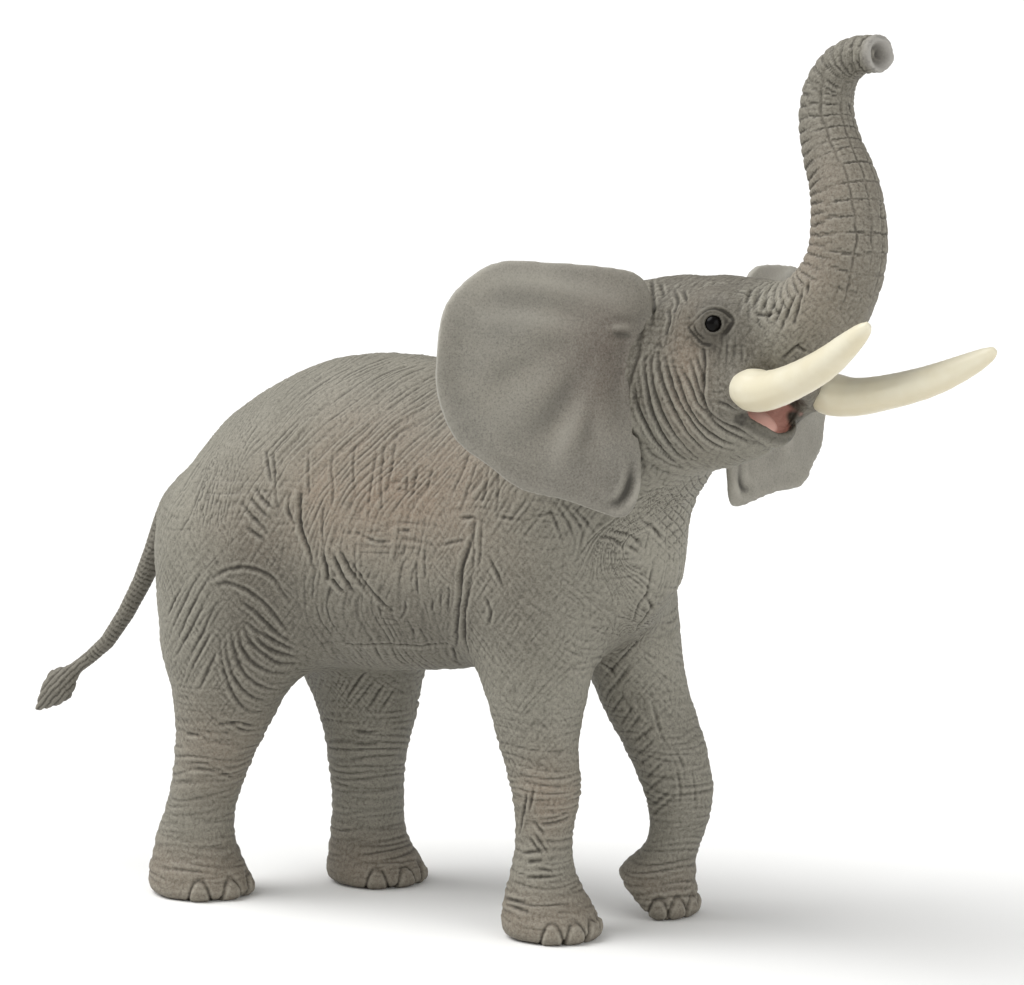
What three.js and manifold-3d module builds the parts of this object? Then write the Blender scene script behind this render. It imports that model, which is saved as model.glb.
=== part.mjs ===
// A solid moulded toy elephant: it stands on three feet and the toes of the fourth, with its trunk
// raised and its ears spread. Millimetres, +X forward, +Y to its left, +Z up, standing at Z = 0.
// The skin is one blended form, cut along flat seams into the mouldings that a maker glues together.
import * as THREE from "three";
import { edgeTable, triTable } from "three/addons/objects/MarchingCubes.js";
import { mergeVertices } from "three/addons/utils/BufferGeometryUtils.js";
import Module from "manifold-3d";

const wasm = await Module();
wasm.setup();

// Body
const backHeight = 110;
const bodyLength = 121; // rump to chest
const bodyWidth = 50;
const bodyDepth = 64; // back to belly
const bodyBlend = 7; // how softly the limbs melt into the body
const neckBaseRadius = 24;
const neckRadius = 19;
const foldDepth = 0.8; // of the main folds in the hide
const foldWidth = 2.6;
const foldStandoff = 0.6; // of the gouge's middle, outside the skin

// Legs
const legRise = 80; // floor to the hip or shoulder
const trackWidth = 28;
const frontFootLength = 20;
const frontFootWidth = 19;
const hindFootLength = 22.6;
const hindFootWidth = 21;
const nailRadius = 2.2;
const heelLift = 9.5; // of the front foot that stands on its toes
const heelRun = 11; // from its heel to where its toes meet the floor
const legPlugRadius = 5;
const legPlugLength = 7;

// Head, in its own frame: the middle of the neck is its origin and it faces along +X
const headLength = 48;
const headWidth = 28;
const headHeight = 40;
const headBlend = 4;
const mouthLength = 18;
const mouthWidth = 17;
const mouthHeight = 6;
const tongueLength = 13;
const tongueWidth = 8.5;
const tongueThickness = 3.6;
const eyeRadius = 2.1;
const neckPlugRadius = 8;
const neckPlugLength = 9;
const jawPlugRadius = 2.2;
const jawPlugLength = 4;

// Trunk
const trunkRise = 54;
const trunkReach = 20;
const trunkRadius = 7.2;
const trunkPlugRadius = 4;
const trunkPlugLength = 5;
const nostrilRadius = 0.9;
const nostrilDepth = 4;
const nostrilOffset = 1.35; // from the trunk's middle

// Ears
const earWidth = 42;
const earHeight = 46;
const earThickness = 3;
const earRimThickness = 1.6;
const earTabLength = 9;
const earTabHeight = 12;
const earTabThickness = 1.6;
const leftEarRaise = 2.5; // it is carried higher than the right one

// Tusks and tail
const tuskReach = 34; // lip to tip
const tuskRadius = 3.3;
const tuskSeatDepth = 7;
const tailDrop = 37;
const tailReach = 27;
const tailRadius = 2.7;
const tailSeatDepth = 6;
const tuftLength = 15;
const tuftWidth = 8;

// Fits and facets
const seamGap = 0.3; // the glue line between two mouldings
const seatClearance = 0.3; // round a plug, tab, tusk, eye or tail in its seat
const overrun = 2; // how far a cutter passes the face that it cuts
const weldTolerance = 0.0001;
const bodyCell = 4.6;
const headCell = 3.4;

const headTurn = THREE.MathUtils.degToRad(-15); // towards its right
const headTilt = THREE.MathUtils.degToRad(-6); // right side up
const rightEarSpread = THREE.MathUtils.degToRad(64); // from straight back
const leftEarSpread = THREE.MathUtils.degToRad(80);
const rightTuskRaise = THREE.MathUtils.degToRad(2.5);
const leftTuskRaise = THREE.MathUtils.degToRad(-3);
const legSeamSlope = THREE.MathUtils.degToRad(49); // rising outwards
const neckSlope = THREE.MathUtils.degToRad(24); // of the neck seam's axis
const jawSlope = THREE.MathUtils.degToRad(14); // of the jaw seam, falling to its hinge
const nailSpread = THREE.MathUtils.degToRad(118);
const tongueSlope = THREE.MathUtils.degToRad(20);

// Tables of shares. A section's station is followed by its middle and its half sizes.
// Body sections, rump to chest: share of its length, of the back's height, of its width and depth
const bodySectionShares = [
  [0, 0.68, 0.03, 0.05],
  [0.016, 0.668, 0.13, 0.1],
  [0.04, 0.64, 0.22, 0.19],
  [0.085, 0.617, 0.31, 0.29],
  [0.155, 0.648, 0.38, 0.387],
  [0.235, 0.674, 0.43, 0.442],
  [0.333, 0.7, 0.48, 0.481],
  [0.44, 0.71, 0.5, 0.5],
  [0.54, 0.712, 0.5, 0.485],
  [0.633, 0.708, 0.48, 0.455],
  [0.732, 0.7, 0.46, 0.415],
  [0.831, 0.69, 0.4, 0.355],
  [0.91, 0.678, 0.3, 0.265],
  [0.955, 0.668, 0.2, 0.165],
  [0.978, 0.66, 0.1, 0.08],
  [0.985, 0.66, 0.02, 0.02],
];
// Main folds of the hide, seen from its right: paths in shares of the body's length and the back's height,
// and how much further forward they are on its left, in shares of that length
const flankFoldShares = [
  [[-0.08, 0.805], [-0.079, 0.753], [-0.076, 0.701], [-0.062, 0.662], [-0.032, 0.621], [-0.005, 0.585]],
  [[-0.012, 0.688], [0.013, 0.644], [0.031, 0.61], [0.052, 0.577]],
  [[-0.031, 0.851], [-0.026, 0.808], [-0.014, 0.745]],
  [[0.054, 0.87], [0.06, 0.815], [0.065, 0.742]],
  [[0.145, 0.821], [0.145, 0.77], [0.143, 0.691]],
  [[0.117, 0.671], [0.108, 0.617], [0.098, 0.56]],
  [[0.252, 0.745], [0.248, 0.707], [0.228, 0.655], [0.216, 0.604], [0.205, 0.57]],
  [[-0.042, 0.522], [-0.003, 0.491], [0.077, 0.495], [0.159, 0.504]],
  [[-0.189, 0.745], [-0.161, 0.717], [-0.134, 0.696]],
];
const hindFoldShares = [
  [[-0.244, 0.599], [-0.213, 0.619], [-0.175, 0.625], [-0.138, 0.609], [-0.116, 0.563]],
  [[-0.212, 0.565], [-0.174, 0.549], [-0.154, 0.515], [-0.127, 0.48]],
  [[-0.209, 0.519], [-0.205, 0.47], [-0.185, 0.433], [-0.159, 0.417]],
  [[-0.232, 0.491], [-0.227, 0.436], [-0.215, 0.386], [-0.194, 0.362]],
  [[-0.244, 0.581], [-0.283, 0.511], [-0.327, 0.448]],
  [[-0.272, 0.324], [-0.235, 0.327], [-0.211, 0.319]],
  [[-0.319, 0.241], [-0.276, 0.24], [-0.257, 0.221]],
];
const frontFoldShares = [
  [[0.292, 0.748], [0.295, 0.679], [0.305, 0.609]],
  [[0.289, 0.536], [0.318, 0.488], [0.356, 0.45]],
  [[0.287, 0.365], [0.325, 0.351], [0.363, 0.345]],
  [[0.305, 0.193], [0.341, 0.204], [0.367, 0.217]],
];
const foldGroups = [
  { paths: flankFoldShares, leftShare: 0 },
  { paths: hindFoldShares, leftShare: 0.17 },
  { paths: frontFoldShares, leftShare: 0.04 },
];
const foldEndShare = 0.25; // of a fold's size, left at its ends
const heelShare = 0.44; // of the foot's length, behind its middle
const nailHeightShare = 0.9; // of the nail's radius, as are the next two
const nailSunkShare = 0.5;
const nailHalfShares = [0.9, 0.95, 1.3];
const rumpShare = -0.484; // of the body's length
const neckFromShares = [0.28, 0.77]; // of the body's length and the back's height
const neckPlaceShares = [0.364, 0.982]; // of the head's origin, in the same two

// Leg sections, from below the sole: share of the leg's rise, then forward and half sizes in its foot's
const frontLegShares = [
  [-0.05, 0.02, 0.5, 0.5],
  [0, 0.02, 0.5, 0.5],
  [0.07, -0.03, 0.48, 0.48],
  [0.13, -0.08, 0.38, 0.4],
  [0.2, -0.09, 0.3, 0.34],
  [0.26, -0.06, 0.31, 0.34],
  [0.35, -0.05, 0.37, 0.38],
  [0.47, -0.13, 0.42, 0.42],
  [0.61, -0.16, 0.55, 0.51],
  [0.71, -0.2, 0.6, 0.57],
  [0.87, -0.31, 0.72, 0.64],
  [1.03, -0.4, 0.7, 0.55],
  [1.15, -0.46, 0.1, 0.1],
];
const liftedLegShares = [
  [-0.05, 0, 0.38, 0.42],
  [0, 0, 0.39, 0.43],
  [0.04, 0, 0.41, 0.45],
  [0.12, -0.03, 0.41, 0.44],
  [0.18, 0.17, 0.28, 0.36],
  [0.26, 0.25, 0.33, 0.37],
  [0.32, 0.21, 0.39, 0.39],
  [0.4, 0.1, 0.44, 0.42],
  [0.49, -0.08, 0.49, 0.45],
  [0.58, -0.23, 0.5, 0.48],
  [0.7, -0.38, 0.58, 0.55],
  [0.87, -0.63, 0.72, 0.64],
  [1.03, -0.78, 0.7, 0.55],
  [1.15, -0.86, 0.1, 0.1],
];
const hindLegShares = [
  [-0.05, 0.01, 0.5, 0.49],
  [0, 0.01, 0.51, 0.5],
  [0.06, -0.02, 0.48, 0.47],
  [0.11, -0.04, 0.41, 0.42],
  [0.18, -0.03, 0.34, 0.38],
  [0.26, 0.06, 0.33, 0.37],
  [0.39, 0.21, 0.41, 0.42],
  [0.5, 0.32, 0.52, 0.48],
  [0.58, 0.36, 0.66, 0.53],
  [0.68, 0.36, 0.69, 0.57],
  [0.82, 0.4, 0.74, 0.6],
  [1, 0.45, 0.7, 0.5],
  [1.15, 0.46, 0.1, 0.1],
];
const strideLegShares = [
  [-0.05, 0, 0.48, 0.49],
  [0, 0, 0.48, 0.5],
  [0.06, -0.05, 0.44, 0.46],
  [0.12, -0.1, 0.36, 0.4],
  [0.2, -0.1, 0.34, 0.38],
  [0.3, -0.11, 0.37, 0.4],
  [0.41, -0.11, 0.45, 0.43],
  [0.51, -0.13, 0.58, 0.49],
  [0.62, -0.21, 0.68, 0.55],
  [0.75, -0.33, 0.71, 0.6],
  [0.94, -0.47, 0.72, 0.55],
  [1.12, -0.57, 0.1, 0.1],
];

// Head forms: middle and half sizes, in shares of its length, half width and height
const middleFormShares = {
  skull: [[0.54, 0, 0.1], [0.46, 1, 0.425]],
  forehead: [[0.75, 0, 0.3], [0.27, 0.79, 0.21]],
  throat: [[0.5, 0, -0.16], [0.25, 0.71, 0.24]],
  chin: [[0.6, 0, -0.23], [0.24, 0.5, 0.15]],
  lowerLip: [[0.71, 0, -0.21], [0.27, 0.45, 0.11]],
};
const pairedFormShares = {
  cheek: [[0.69, 0.57, 0], [0.25, 0.39, 0.27]],
  brow: [[0.8, 0.68, 0.32], [0.17, 0.3, 0.14]],
  tuskSheath: [[0.9, 0.5, 0.04], [0.18, 0.36, 0.15]],
};
const headBoxShares = [[-0.1, -1.5, -0.7], [1.3, 1.5, 0.7]]; // it holds the whole head and the trunk's root
const neckToShares = [0.3, 0, 0]; // the middle of the neck's front end
const neckSeamShares = [0.3, 0, 0];
const mouthShares = [1.03, 0, -0.12];
const mouthEdgeShare = 0.25; // how softly it meets the skin, of the head's blend
const tongueShares = [0.83, 0, -0.14];
const jawTopShares = [0.94, 0, -0.125];
const jawBackShares = [0.65, 0, -0.2];
const jawPlugDropShare = 1.6; // below the jaw's seam, of the plug's radius
const eyeShares = [0.835, 0.93, 0.298];
const earRootShares = [0.48, 1, -0.062];
const tuskSeatShares = [1, 0.63, 0.012];
const tuskRootShares = [-1, -0.35, 0.15]; // from its seat, of the seat's depth
const tuskRootShare = 0.55; // its radius there, of the tusk's
const trunkRootShares = [0.854, 0, 0.225];

// Trunk, root to tip: forward, up, half width and half depth in shares of its reach, rise and radius
const trunkShares = [
  [-0.35, -0.06, 1.4, 1.4],
  [0, 0, 1.46, 1.42],
  [0.45, 0.05, 1.14, 1.1],
  [0.84, 0.18, 1.06, 1.06],
  [0.95, 0.3, 1.02, 1.04],
  [0.94, 0.41, 1, 1.02],
  [0.85, 0.55, 0.92, 0.92],
  [0.68, 0.66, 0.84, 0.82],
  [0.56, 0.78, 0.76, 0.73],
  [0.56, 0.87, 0.69, 0.68],
  [0.66, 0.94, 0.62, 0.62],
  [0.84, 0.99, 0.56, 0.53],
  [1.19, 1, 0.54, 0.5],
];
const trunkSeamShare = 0.175; // along the trunk

// Tusk, lip to tip: ahead, outward and up in shares of its reach, and radius
const tuskShares = [
  [-0.06, 0.03, 0.01, 0.98],
  [0.03, 0.05, 0, 1.26],
  [0.16, 0.08, 0, 1.14],
  [0.36, 0.11, 0.05, 1.02],
  [0.63, 0.16, 0.15, 0.92],
  [0.85, 0.21, 0.27, 0.7],
  [0.96, 0.23, 0.34, 0.46],
  [1, 0.24, 0.37, 0.2],
];

// Tail, root to tuft: back and down in shares of its reach and drop, and radius
const tailShares = [
  [0, 0, 1.15],
  [0.06, 0.03, 1.06],
  [0.16, 0.18, 0.98],
  [0.35, 0.47, 0.78],
  [0.685, 0.83, 0.62],
  [0.97, 0.99, 0.54],
];
const tailRootShares = [0.03, 0.7]; // of the body's length and the back's height
// Tuft, start to tip: share of its length and of its half width
const tuftShares = [[0.12, 0.5], [0.38, 0.95], [0.6, 0.8], [0.85, 0.38], [1, 0.1]];
const tuftSlopeShares = [0.73, 0.68]; // back and down
const tuftFlatShare = 0.6; // its thickness, of its width

// Ear outline from the front of its top: outward and up in shares of its width and height
const earOutlineShares = [
  [-0.02, 0.4], [0.03, 0.48], [0.22, 0.505], [0.45, 0.505], [0.66, 0.495], [0.79, 0.42],
  [0.887, 0.305], [0.91, 0.12], [0.88, -0.07], [0.78, -0.24], [0.65, -0.32], [0.5, -0.41],
  [0.3, -0.44], [0.1, -0.49], [0.02, -0.5], [-0.04, -0.42], [-0.02, -0.1],
];
const earMiddleShare = 0.4; // outward, where its facets meet
const earBowShare = 0.13; // how far the ear bends back at its rim, of its width
const earRippleShare = 0.03;
const earRippleHubShare = 0.25; // of its width, ahead of the root, where the ripples start


const RIGHT = -1;
const LEFT = 1;
const { lerp, clamp } = THREE.MathUtils;
const sum = (values) => values.reduce((total, value) => total + value, 0);
const sideways = new THREE.Vector3(0, 1, 0);

// Fields: each gives a rough distance to a form, negative inside it.

function ellipsoid([cx, cy, cz], [rx, ry, rz]) {
  return (x, y, z) => {
    const [u, v, w] = [(x - cx) / rx, (y - cy) / ry, (z - cz) / rz];
    const inside = Math.hypot(u, v, w);
    const slope = Math.hypot(u / rx, v / ry, w / rz);
    return slope > 0 ? (inside * (inside - 1)) / slope : -Math.min(rx, ry, rz);
  };
}

function roundCone(from, fromRadius, to, toRadius) {
  const along = to.clone().sub(from);
  const point = new THREE.Vector3();
  return (x, y, z) => {
    const share = clamp(point.set(x, y, z).sub(from).dot(along) / along.lengthSq(), 0, 1);
    return point.addScaledVector(along, -share).length() - lerp(fromRadius, toRadius, share);
  };
}

// Rows of numbers, the first of which is the station, joined by smooth curves
function smoothRows(rows) {
  const slopes = rows.map((row, i) => {
    const before = rows[Math.max(i - 1, 0)];
    const after = rows[Math.min(i + 1, rows.length - 1)];
    return row.map((_, k) => (after[k] - before[k]) / (after[0] - before[0]));
  });
  return (station) => {
    const s = clamp(station, rows[0][0], rows[rows.length - 1][0]);
    let i = 0;
    while (i < rows.length - 2 && s > rows[i + 1][0]) i += 1;
    const span = rows[i + 1][0] - rows[i][0];
    const t = (s - rows[i][0]) / span;
    return rows[i].map((value, k) => {
      const rise = rows[i + 1][k] - value;
      const [leaving, arriving] = [slopes[i][k] * span, slopes[i + 1][k] * span];
      const bend = leaving + arriving - 2 * rise;
      return value + t * (leaving + t * (rise - leaving - bend + t * bend));
    });
  };
}

// A stack of elliptical sections: rows hold the station, the two middles and the two half sizes.
function stack(rows, order) {
  const at = smoothRows(rows);
  const [first, last] = [rows[0][0], rows[rows.length - 1][0]];
  return (x, y, z) => {
    const [station, u, v] = order(x, y, z);
    const [, middleU, middleV, halfU, halfV] = at(station);
    const across = ellipsoid([middleU, middleV, 0], [halfU, halfV, halfU])(u, v, 0);
    const past = Math.max(first - station, station - last, 0);
    return past > 0 ? Math.hypot(Math.max(across, 0), past) : across;
  };
}

function smoothMin(a, b, width) {
  const near = Math.max(width - Math.abs(a - b), 0) / width;
  return Math.min(a, b) - (near * near * width) / 4;
}
const blend = (fields, width) => (x, y, z) =>
  fields.map((field) => field(x, y, z)).reduce((a, b) => smoothMin(a, b, width));
const carve = (field, hollow, width) => (x, y, z) => -smoothMin(-field(x, y, z), hollow(x, y, z), width);
const grown = (field, amount) => (x, y, z) => field(x, y, z) - amount;

function moved(field, matrix) {
  const point = new THREE.Vector3();
  return (x, y, z) => field(...point.set(x, y, z).applyMatrix4(matrix));
}

// Solids

function solid(geometry, place) {
  const bare = new THREE.BufferGeometry().setAttribute("position", geometry.getAttribute("position").clone());
  bare.setIndex(geometry.index);
  if (place) bare.applyMatrix4(place);
  const welded = mergeVertices(bare, weldTolerance);
  return new wasm.Manifold(new wasm.Mesh({
    numProp: 3,
    vertProperties: new Float32Array(welded.getAttribute("position").array),
    triVerts: new Uint32Array(welded.index.array),
  }));
}

// A block with one face on a plane, reaching away from it along the normal
const blockSize = 3 * backHeight;
function beyond(point, normal) {
  const turned = new THREE.Quaternion().setFromUnitVectors(new THREE.Vector3(0, 0, 1), normal);
  const centre = point.clone().addScaledVector(normal, blockSize / 2);
  const place = new THREE.Matrix4().compose(centre, turned, new THREE.Vector3(1, 1, 1));
  return solid(new THREE.BoxGeometry(blockSize, blockSize, blockSize), place);
}

const ROD_SIDES = 12;
function rod(start, axis, radius, length) {
  const turned = new THREE.Quaternion().setFromUnitVectors(new THREE.Vector3(0, 1, 0), axis);
  const centre = start.clone().addScaledVector(axis, length / 2);
  const place = new THREE.Matrix4().compose(centre, turned, new THREE.Vector3(1, 1, 1));
  return solid(new THREE.CylinderGeometry(radius, radius, length, ROD_SIDES), place);
}
// A glue plug rooted in its own moulding, and the seat that takes it
function plugAndSeat(point, axis, radius, length) {
  const start = point.clone().addScaledVector(axis, -radius);
  return {
    plug: rod(start, axis, radius, length + radius),
    seat: rod(start, axis, radius + seatClearance, length + radius + seatClearance),
  };
}

// The surface of a field in a box, as a closed solid whose facets are about one cell long
const CORNERS = [[0, 0, 0], [1, 0, 0], [1, 1, 0], [0, 1, 0], [0, 0, 1], [1, 0, 1], [1, 1, 1], [0, 1, 1]];
const EDGES = [
  [0, 1], [1, 2], [2, 3], [3, 0], [4, 5], [5, 6], [6, 7], [7, 4], [0, 4], [1, 5], [2, 6], [3, 7],
];
const leastValueShare = 0.14; // of a cell, which keeps facets from shrinking to slivers

function polygonise(field, [low, high], cell) {
  const count = low.map((value, axis) => Math.ceil((high[axis] - value) / cell) + 1);
  const at = (steps) => low.map((value, axis) => value + steps[axis] * cell);
  const indexOf = ([i, j, k]) => i + count[0] * (j + count[1] * k);
  const least = leastValueShare * cell;
  const values = new Float64Array(count[0] * count[1] * count[2]);
  const steps = [];
  for (let k = 0; k < count[2]; k += 1) {
    for (let j = 0; j < count[1]; j += 1) {
      for (let i = 0; i < count[0]; i += 1) steps.push([i, j, k]);
    }
  }
  for (const step of steps) {
    const value = field(...at(step));
    const kept = Math.abs(value) < least ? Math.sign(value || 1) * least : value;
    const outermost = step.some((n, axis) => n === 0 || n === count[axis] - 1);
    values[indexOf(step)] = outermost ? Math.max(kept, least) : kept;
  }
  const points = [];
  const triangles = [];
  const known = new Map();
  const crossing = (a, b) => {
    const [from, to] = [indexOf(a), indexOf(b)];
    const key = Math.min(from, to) * values.length + Math.max(from, to);
    if (!known.has(key)) {
      const share = values[from] / (values[from] - values[to]);
      known.set(key, points.length);
      points.push(new THREE.Vector3(...at(a)).lerp(new THREE.Vector3(...at(b)), share));
    }
    return known.get(key);
  };
  for (const step of steps.filter((s) => s.every((n, axis) => n < count[axis] - 1))) {
    const corners = CORNERS.map((corner) => corner.map((n, axis) => n + step[axis]));
    const code = sum(corners.map((corner, n) => (values[indexOf(corner)] < 0 ? 2 ** n : 0)));
    for (let t = code * 16; edgeTable[code] && triTable[t] !== -1; t += 3) {
      const edges = [triTable[t], triTable[t + 2], triTable[t + 1]];
      triangles.push(...edges.map((edge) => crossing(...EDGES[edge].map((n) => corners[n]))));
    }
  }
  return solid(new THREE.BufferGeometry().setFromPoints(points).setIndex(triangles));
}

// A closed tube through rings of equal counts, capped by a fan at each end
function tube(rings) {
  const sides = rings[0].length;
  const hub = (ring) => ring.reduce((a, b) => a.clone().add(b), new THREE.Vector3()).divideScalar(sides);
  const points = [...rings.flat(), hub(rings[0]), hub(rings[rings.length - 1])];
  const last = (rings.length - 1) * sides;
  const triangles = [];
  for (let s = 0; s < sides; s += 1) {
    const next = (s + 1) % sides;
    for (let from = 0; from < last; from += sides) {
      const to = from + sides;
      triangles.push(from + s, from + next, to + next, from + s, to + next, to + s);
    }
    triangles.push(points.length - 2, next, s, points.length - 1, last + s, last + next);
  }
  return solid(new THREE.BufferGeometry().setFromPoints(points).setIndex(triangles));
}

// A tube swept along a curve, with half sizes [across, deep] at each share of it
function sweep(curve, steps, sides, sizeAt) {
  const rings = Array.from({ length: steps + 1 }, (_, i) => {
    const share = i / steps;
    const middle = curve.getPoint(share);
    const tangent = curve.getTangent(share);
    const depth = new THREE.Vector3().crossVectors(tangent, sideways).normalize();
    const width = new THREE.Vector3().crossVectors(depth, tangent);
    const [across, deep] = sizeAt(share);
    return Array.from({ length: sides }, (__, s) => {
      const turn = (s / sides) * 2 * Math.PI;
      return middle.clone().addScaledVector(width, across * Math.cos(turn))
        .addScaledVector(depth, deep * Math.sin(turn));
    });
  });
  return tube(rings);
}
const curveThrough = (points) => new THREE.CatmullRomCurve3(points);
const evenRows = (rows) => smoothRows(rows.map((row, i) => [i / (rows.length - 1), ...row]));

// Body and legs as fields

const onBody = ([along, up]) => new THREE.Vector3(along * bodyLength, 0, up * backHeight);
const bodyRows = bodySectionShares.map(([station, height, wide, deep]) => [
  (rumpShare + station) * bodyLength, 0, height * backHeight, wide * bodyWidth, deep * bodyDepth,
]);
const body = stack(bodyRows, (x, y, z) => [x, y, z]);

// footShare and foldShare, of the body's length, place the foot and the upright end of the leg's seam.
const front = { length: frontFootLength, width: frontFootWidth, ahead: 1, seamShare: 0.79, nailCount: 5 };
const hind = { length: hindFootLength, width: hindFootWidth, ahead: -1, seamShare: 0.75, nailCount: 4 };
const legs = [
  {
    ...front, name: "front_right_leg", side: RIGHT, shares: frontLegShares,
    footShare: 0.326, trackShare: 0.42, foldShare: 0.17, plugShare: 0.31,
  },
  {
    ...front, name: "front_left_leg", side: LEFT, shares: liftedLegShares, onToes: true,
    footShare: 0.39, trackShare: 0.6, foldShare: 0.17, plugShare: 0.31,
  },
  {
    ...hind, name: "hind_right_leg", side: RIGHT, shares: hindLegShares,
    footShare: -0.339, trackShare: 0.5, foldShare: -0.107, plugShare: -0.26,
  },
  {
    ...hind, name: "hind_left_leg", side: LEFT, shares: strideLegShares,
    footShare: -0.136, trackShare: 0.5, foldShare: 0, plugShare: -0.19,
  },
];
for (const leg of legs) {
  leg.x = leg.footShare * bodyLength;
  leg.y = leg.side * leg.trackShare * trackWidth;
  leg.rows = leg.shares.map(([height, forward, long, wide]) => [
    height * legRise, leg.x + forward * leg.length, leg.y, long * leg.length, wide * leg.width,
  ]);
  leg.field = stack(leg.rows, (x, y, z) => [z, x, y]);
}

// Head as fields in its own frame

const onHead = ([a, b, c]) => new THREE.Vector3(a * headLength, (b * headWidth) / 2, c * headHeight);
const mirrored = ([a, b, c], side) => [a, side * b, c];
const form = ([middle, half], side = 1) => ellipsoid([...onHead(mirrored(middle, side))], [...onHead(half)]);
const headForms = [
  ...Object.values(middleFormShares).map((shares) => form(shares)),
  ...Object.values(pairedFormShares).flatMap((shares) => [form(shares, RIGHT), form(shares, LEFT)]),
];

const trunkRoot = onHead(trunkRootShares);
const trunkPoint = ([forward, up]) => new THREE.Vector3(
  trunkRoot.x + forward * trunkReach, 0, trunkRoot.z + up * trunkRise,
);
const trunkCurve = curveThrough(trunkShares.map(trunkPoint));
const trunkSize = evenRows(trunkShares);
const TRUNK_LINKS = 4; // the spans of the trunk that blend into the head
const trunkLinks = trunkShares.slice(0, TRUNK_LINKS).map((row, i) => {
  const next = trunkShares[i + 1];
  return roundCone(trunkPoint(row), row[2] * trunkRadius, trunkPoint(next), next[2] * trunkRadius);
});

const mouth = ellipsoid([...onHead(mouthShares)], [mouthLength / 2, mouthWidth / 2, mouthHeight / 2]);
const headSkin = carve(blend([...headForms, ...trunkLinks], headBlend), mouth, mouthEdgeShare * headBlend);

const headPose = new THREE.Matrix4().compose(
  onBody(neckPlaceShares),
  new THREE.Quaternion().setFromEuler(new THREE.Euler(headTilt, 0, headTurn, "ZXY")),
  new THREE.Vector3(1, 1, 1),
);
const neckTo = onHead(neckToShares).applyMatrix4(headPose);
const neck = roundCone(onBody(neckFromShares), neckBaseRadius, neckTo, neckRadius);

const skin = blend([
  blend([body, neck, ...legs.map((leg) => leg.field)], bodyBlend),
  moved(headSkin, headPose.clone().invert()),
], headBlend);
const skinFromHead = moved(skin, headPose);

// Seams. A leg takes the skin below a sloped plane, past an upright one, on its own side of the middle.

function legSeam(leg) {
  return {
    point: new THREE.Vector3(leg.plugShare * bodyLength, leg.y, leg.seamShare * legRise),
    axis: new THREE.Vector3(0, -leg.side * Math.sin(legSeamSlope), Math.cos(legSeamSlope)),
  };
}
function legRegion(leg, grow) {
  const { point, axis } = legSeam(leg);
  const fold = new THREE.Vector3(leg.foldShare * bodyLength - leg.ahead * grow, 0, 0);
  const centreline = new THREE.Vector3(0, leg.side * (seamGap / 2 - grow), 0);
  return beyond(point.addScaledVector(axis, grow), axis.clone().negate())
    .intersect(beyond(fold, new THREE.Vector3(leg.ahead, 0, 0)))
    .intersect(beyond(centreline, new THREE.Vector3(0, leg.side, 0)));
}
function legJoint(leg) {
  const { point, axis } = legSeam(leg);
  return plugAndSeat(point, axis, legPlugRadius, legPlugLength);
}

const neckSeam = onHead(neckSeamShares);
const neckAxis = new THREE.Vector3(Math.cos(neckSlope), 0, Math.sin(neckSlope));
const bodyward = neckAxis.clone().negate();
const neckPoint = neckSeam.clone().applyMatrix4(headPose);
const neckBack = bodyward.clone().transformDirection(headPose);

const trunkSeam = trunkCurve.getPoint(trunkSeamShare);
const trunkAxis = trunkCurve.getTangent(trunkSeamShare);
const trunkJoint = plugAndSeat(trunkSeam, trunkAxis.clone().negate(), trunkPlugRadius, trunkPlugLength);

const jawTop = onHead(jawTopShares);
const jawBack = onHead(jawBackShares);
const jawDown = new THREE.Vector3(Math.sin(jawSlope), 0, -Math.cos(jawSlope));
const jawAhead = new THREE.Vector3(1, 0, 0);
function jawRegion(grow) {
  return beyond(jawTop.clone().addScaledVector(jawDown, -grow), jawDown)
    .intersect(beyond(jawBack.clone().addScaledVector(jawAhead, -grow), jawAhead));
}
const jawSeamBack = jawTop.z - (jawTop.x - jawBack.x) * Math.tan(jawSlope);
const jawPlugPoint = jawBack.clone().setZ(jawSeamBack - jawPlugDropShare * jawPlugRadius);
const jawJoint = plugAndSeat(jawPlugPoint, jawAhead.clone().negate(), jawPlugRadius, jawPlugLength);

// Boxes round the blended mouldings, with room to spare
const bodyBox = [
  [rumpShare * bodyLength - bodyBlend, -bodyWidth / 2 - bodyBlend, -bodyCell],
  [(rumpShare + 1) * bodyLength + headLength / 2, bodyWidth / 2 + bodyBlend, backHeight + headHeight / 2],
];
const headBox = headBoxShares.map((shares) => [...onHead(shares)]);
const aboveFloor = beyond(new THREE.Vector3(), new THREE.Vector3(0, 0, 1));

// Folds of the hide: a fine gouge with a V-shaped floor follows each path over the skin

const FOLD_SIDES = 4;
const FOLD_STEPS = 3; // for each point of its path
const SKIN_STEPS = 64; // in the search for the skin
const SKIN_HALVINGS = 5;
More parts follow.
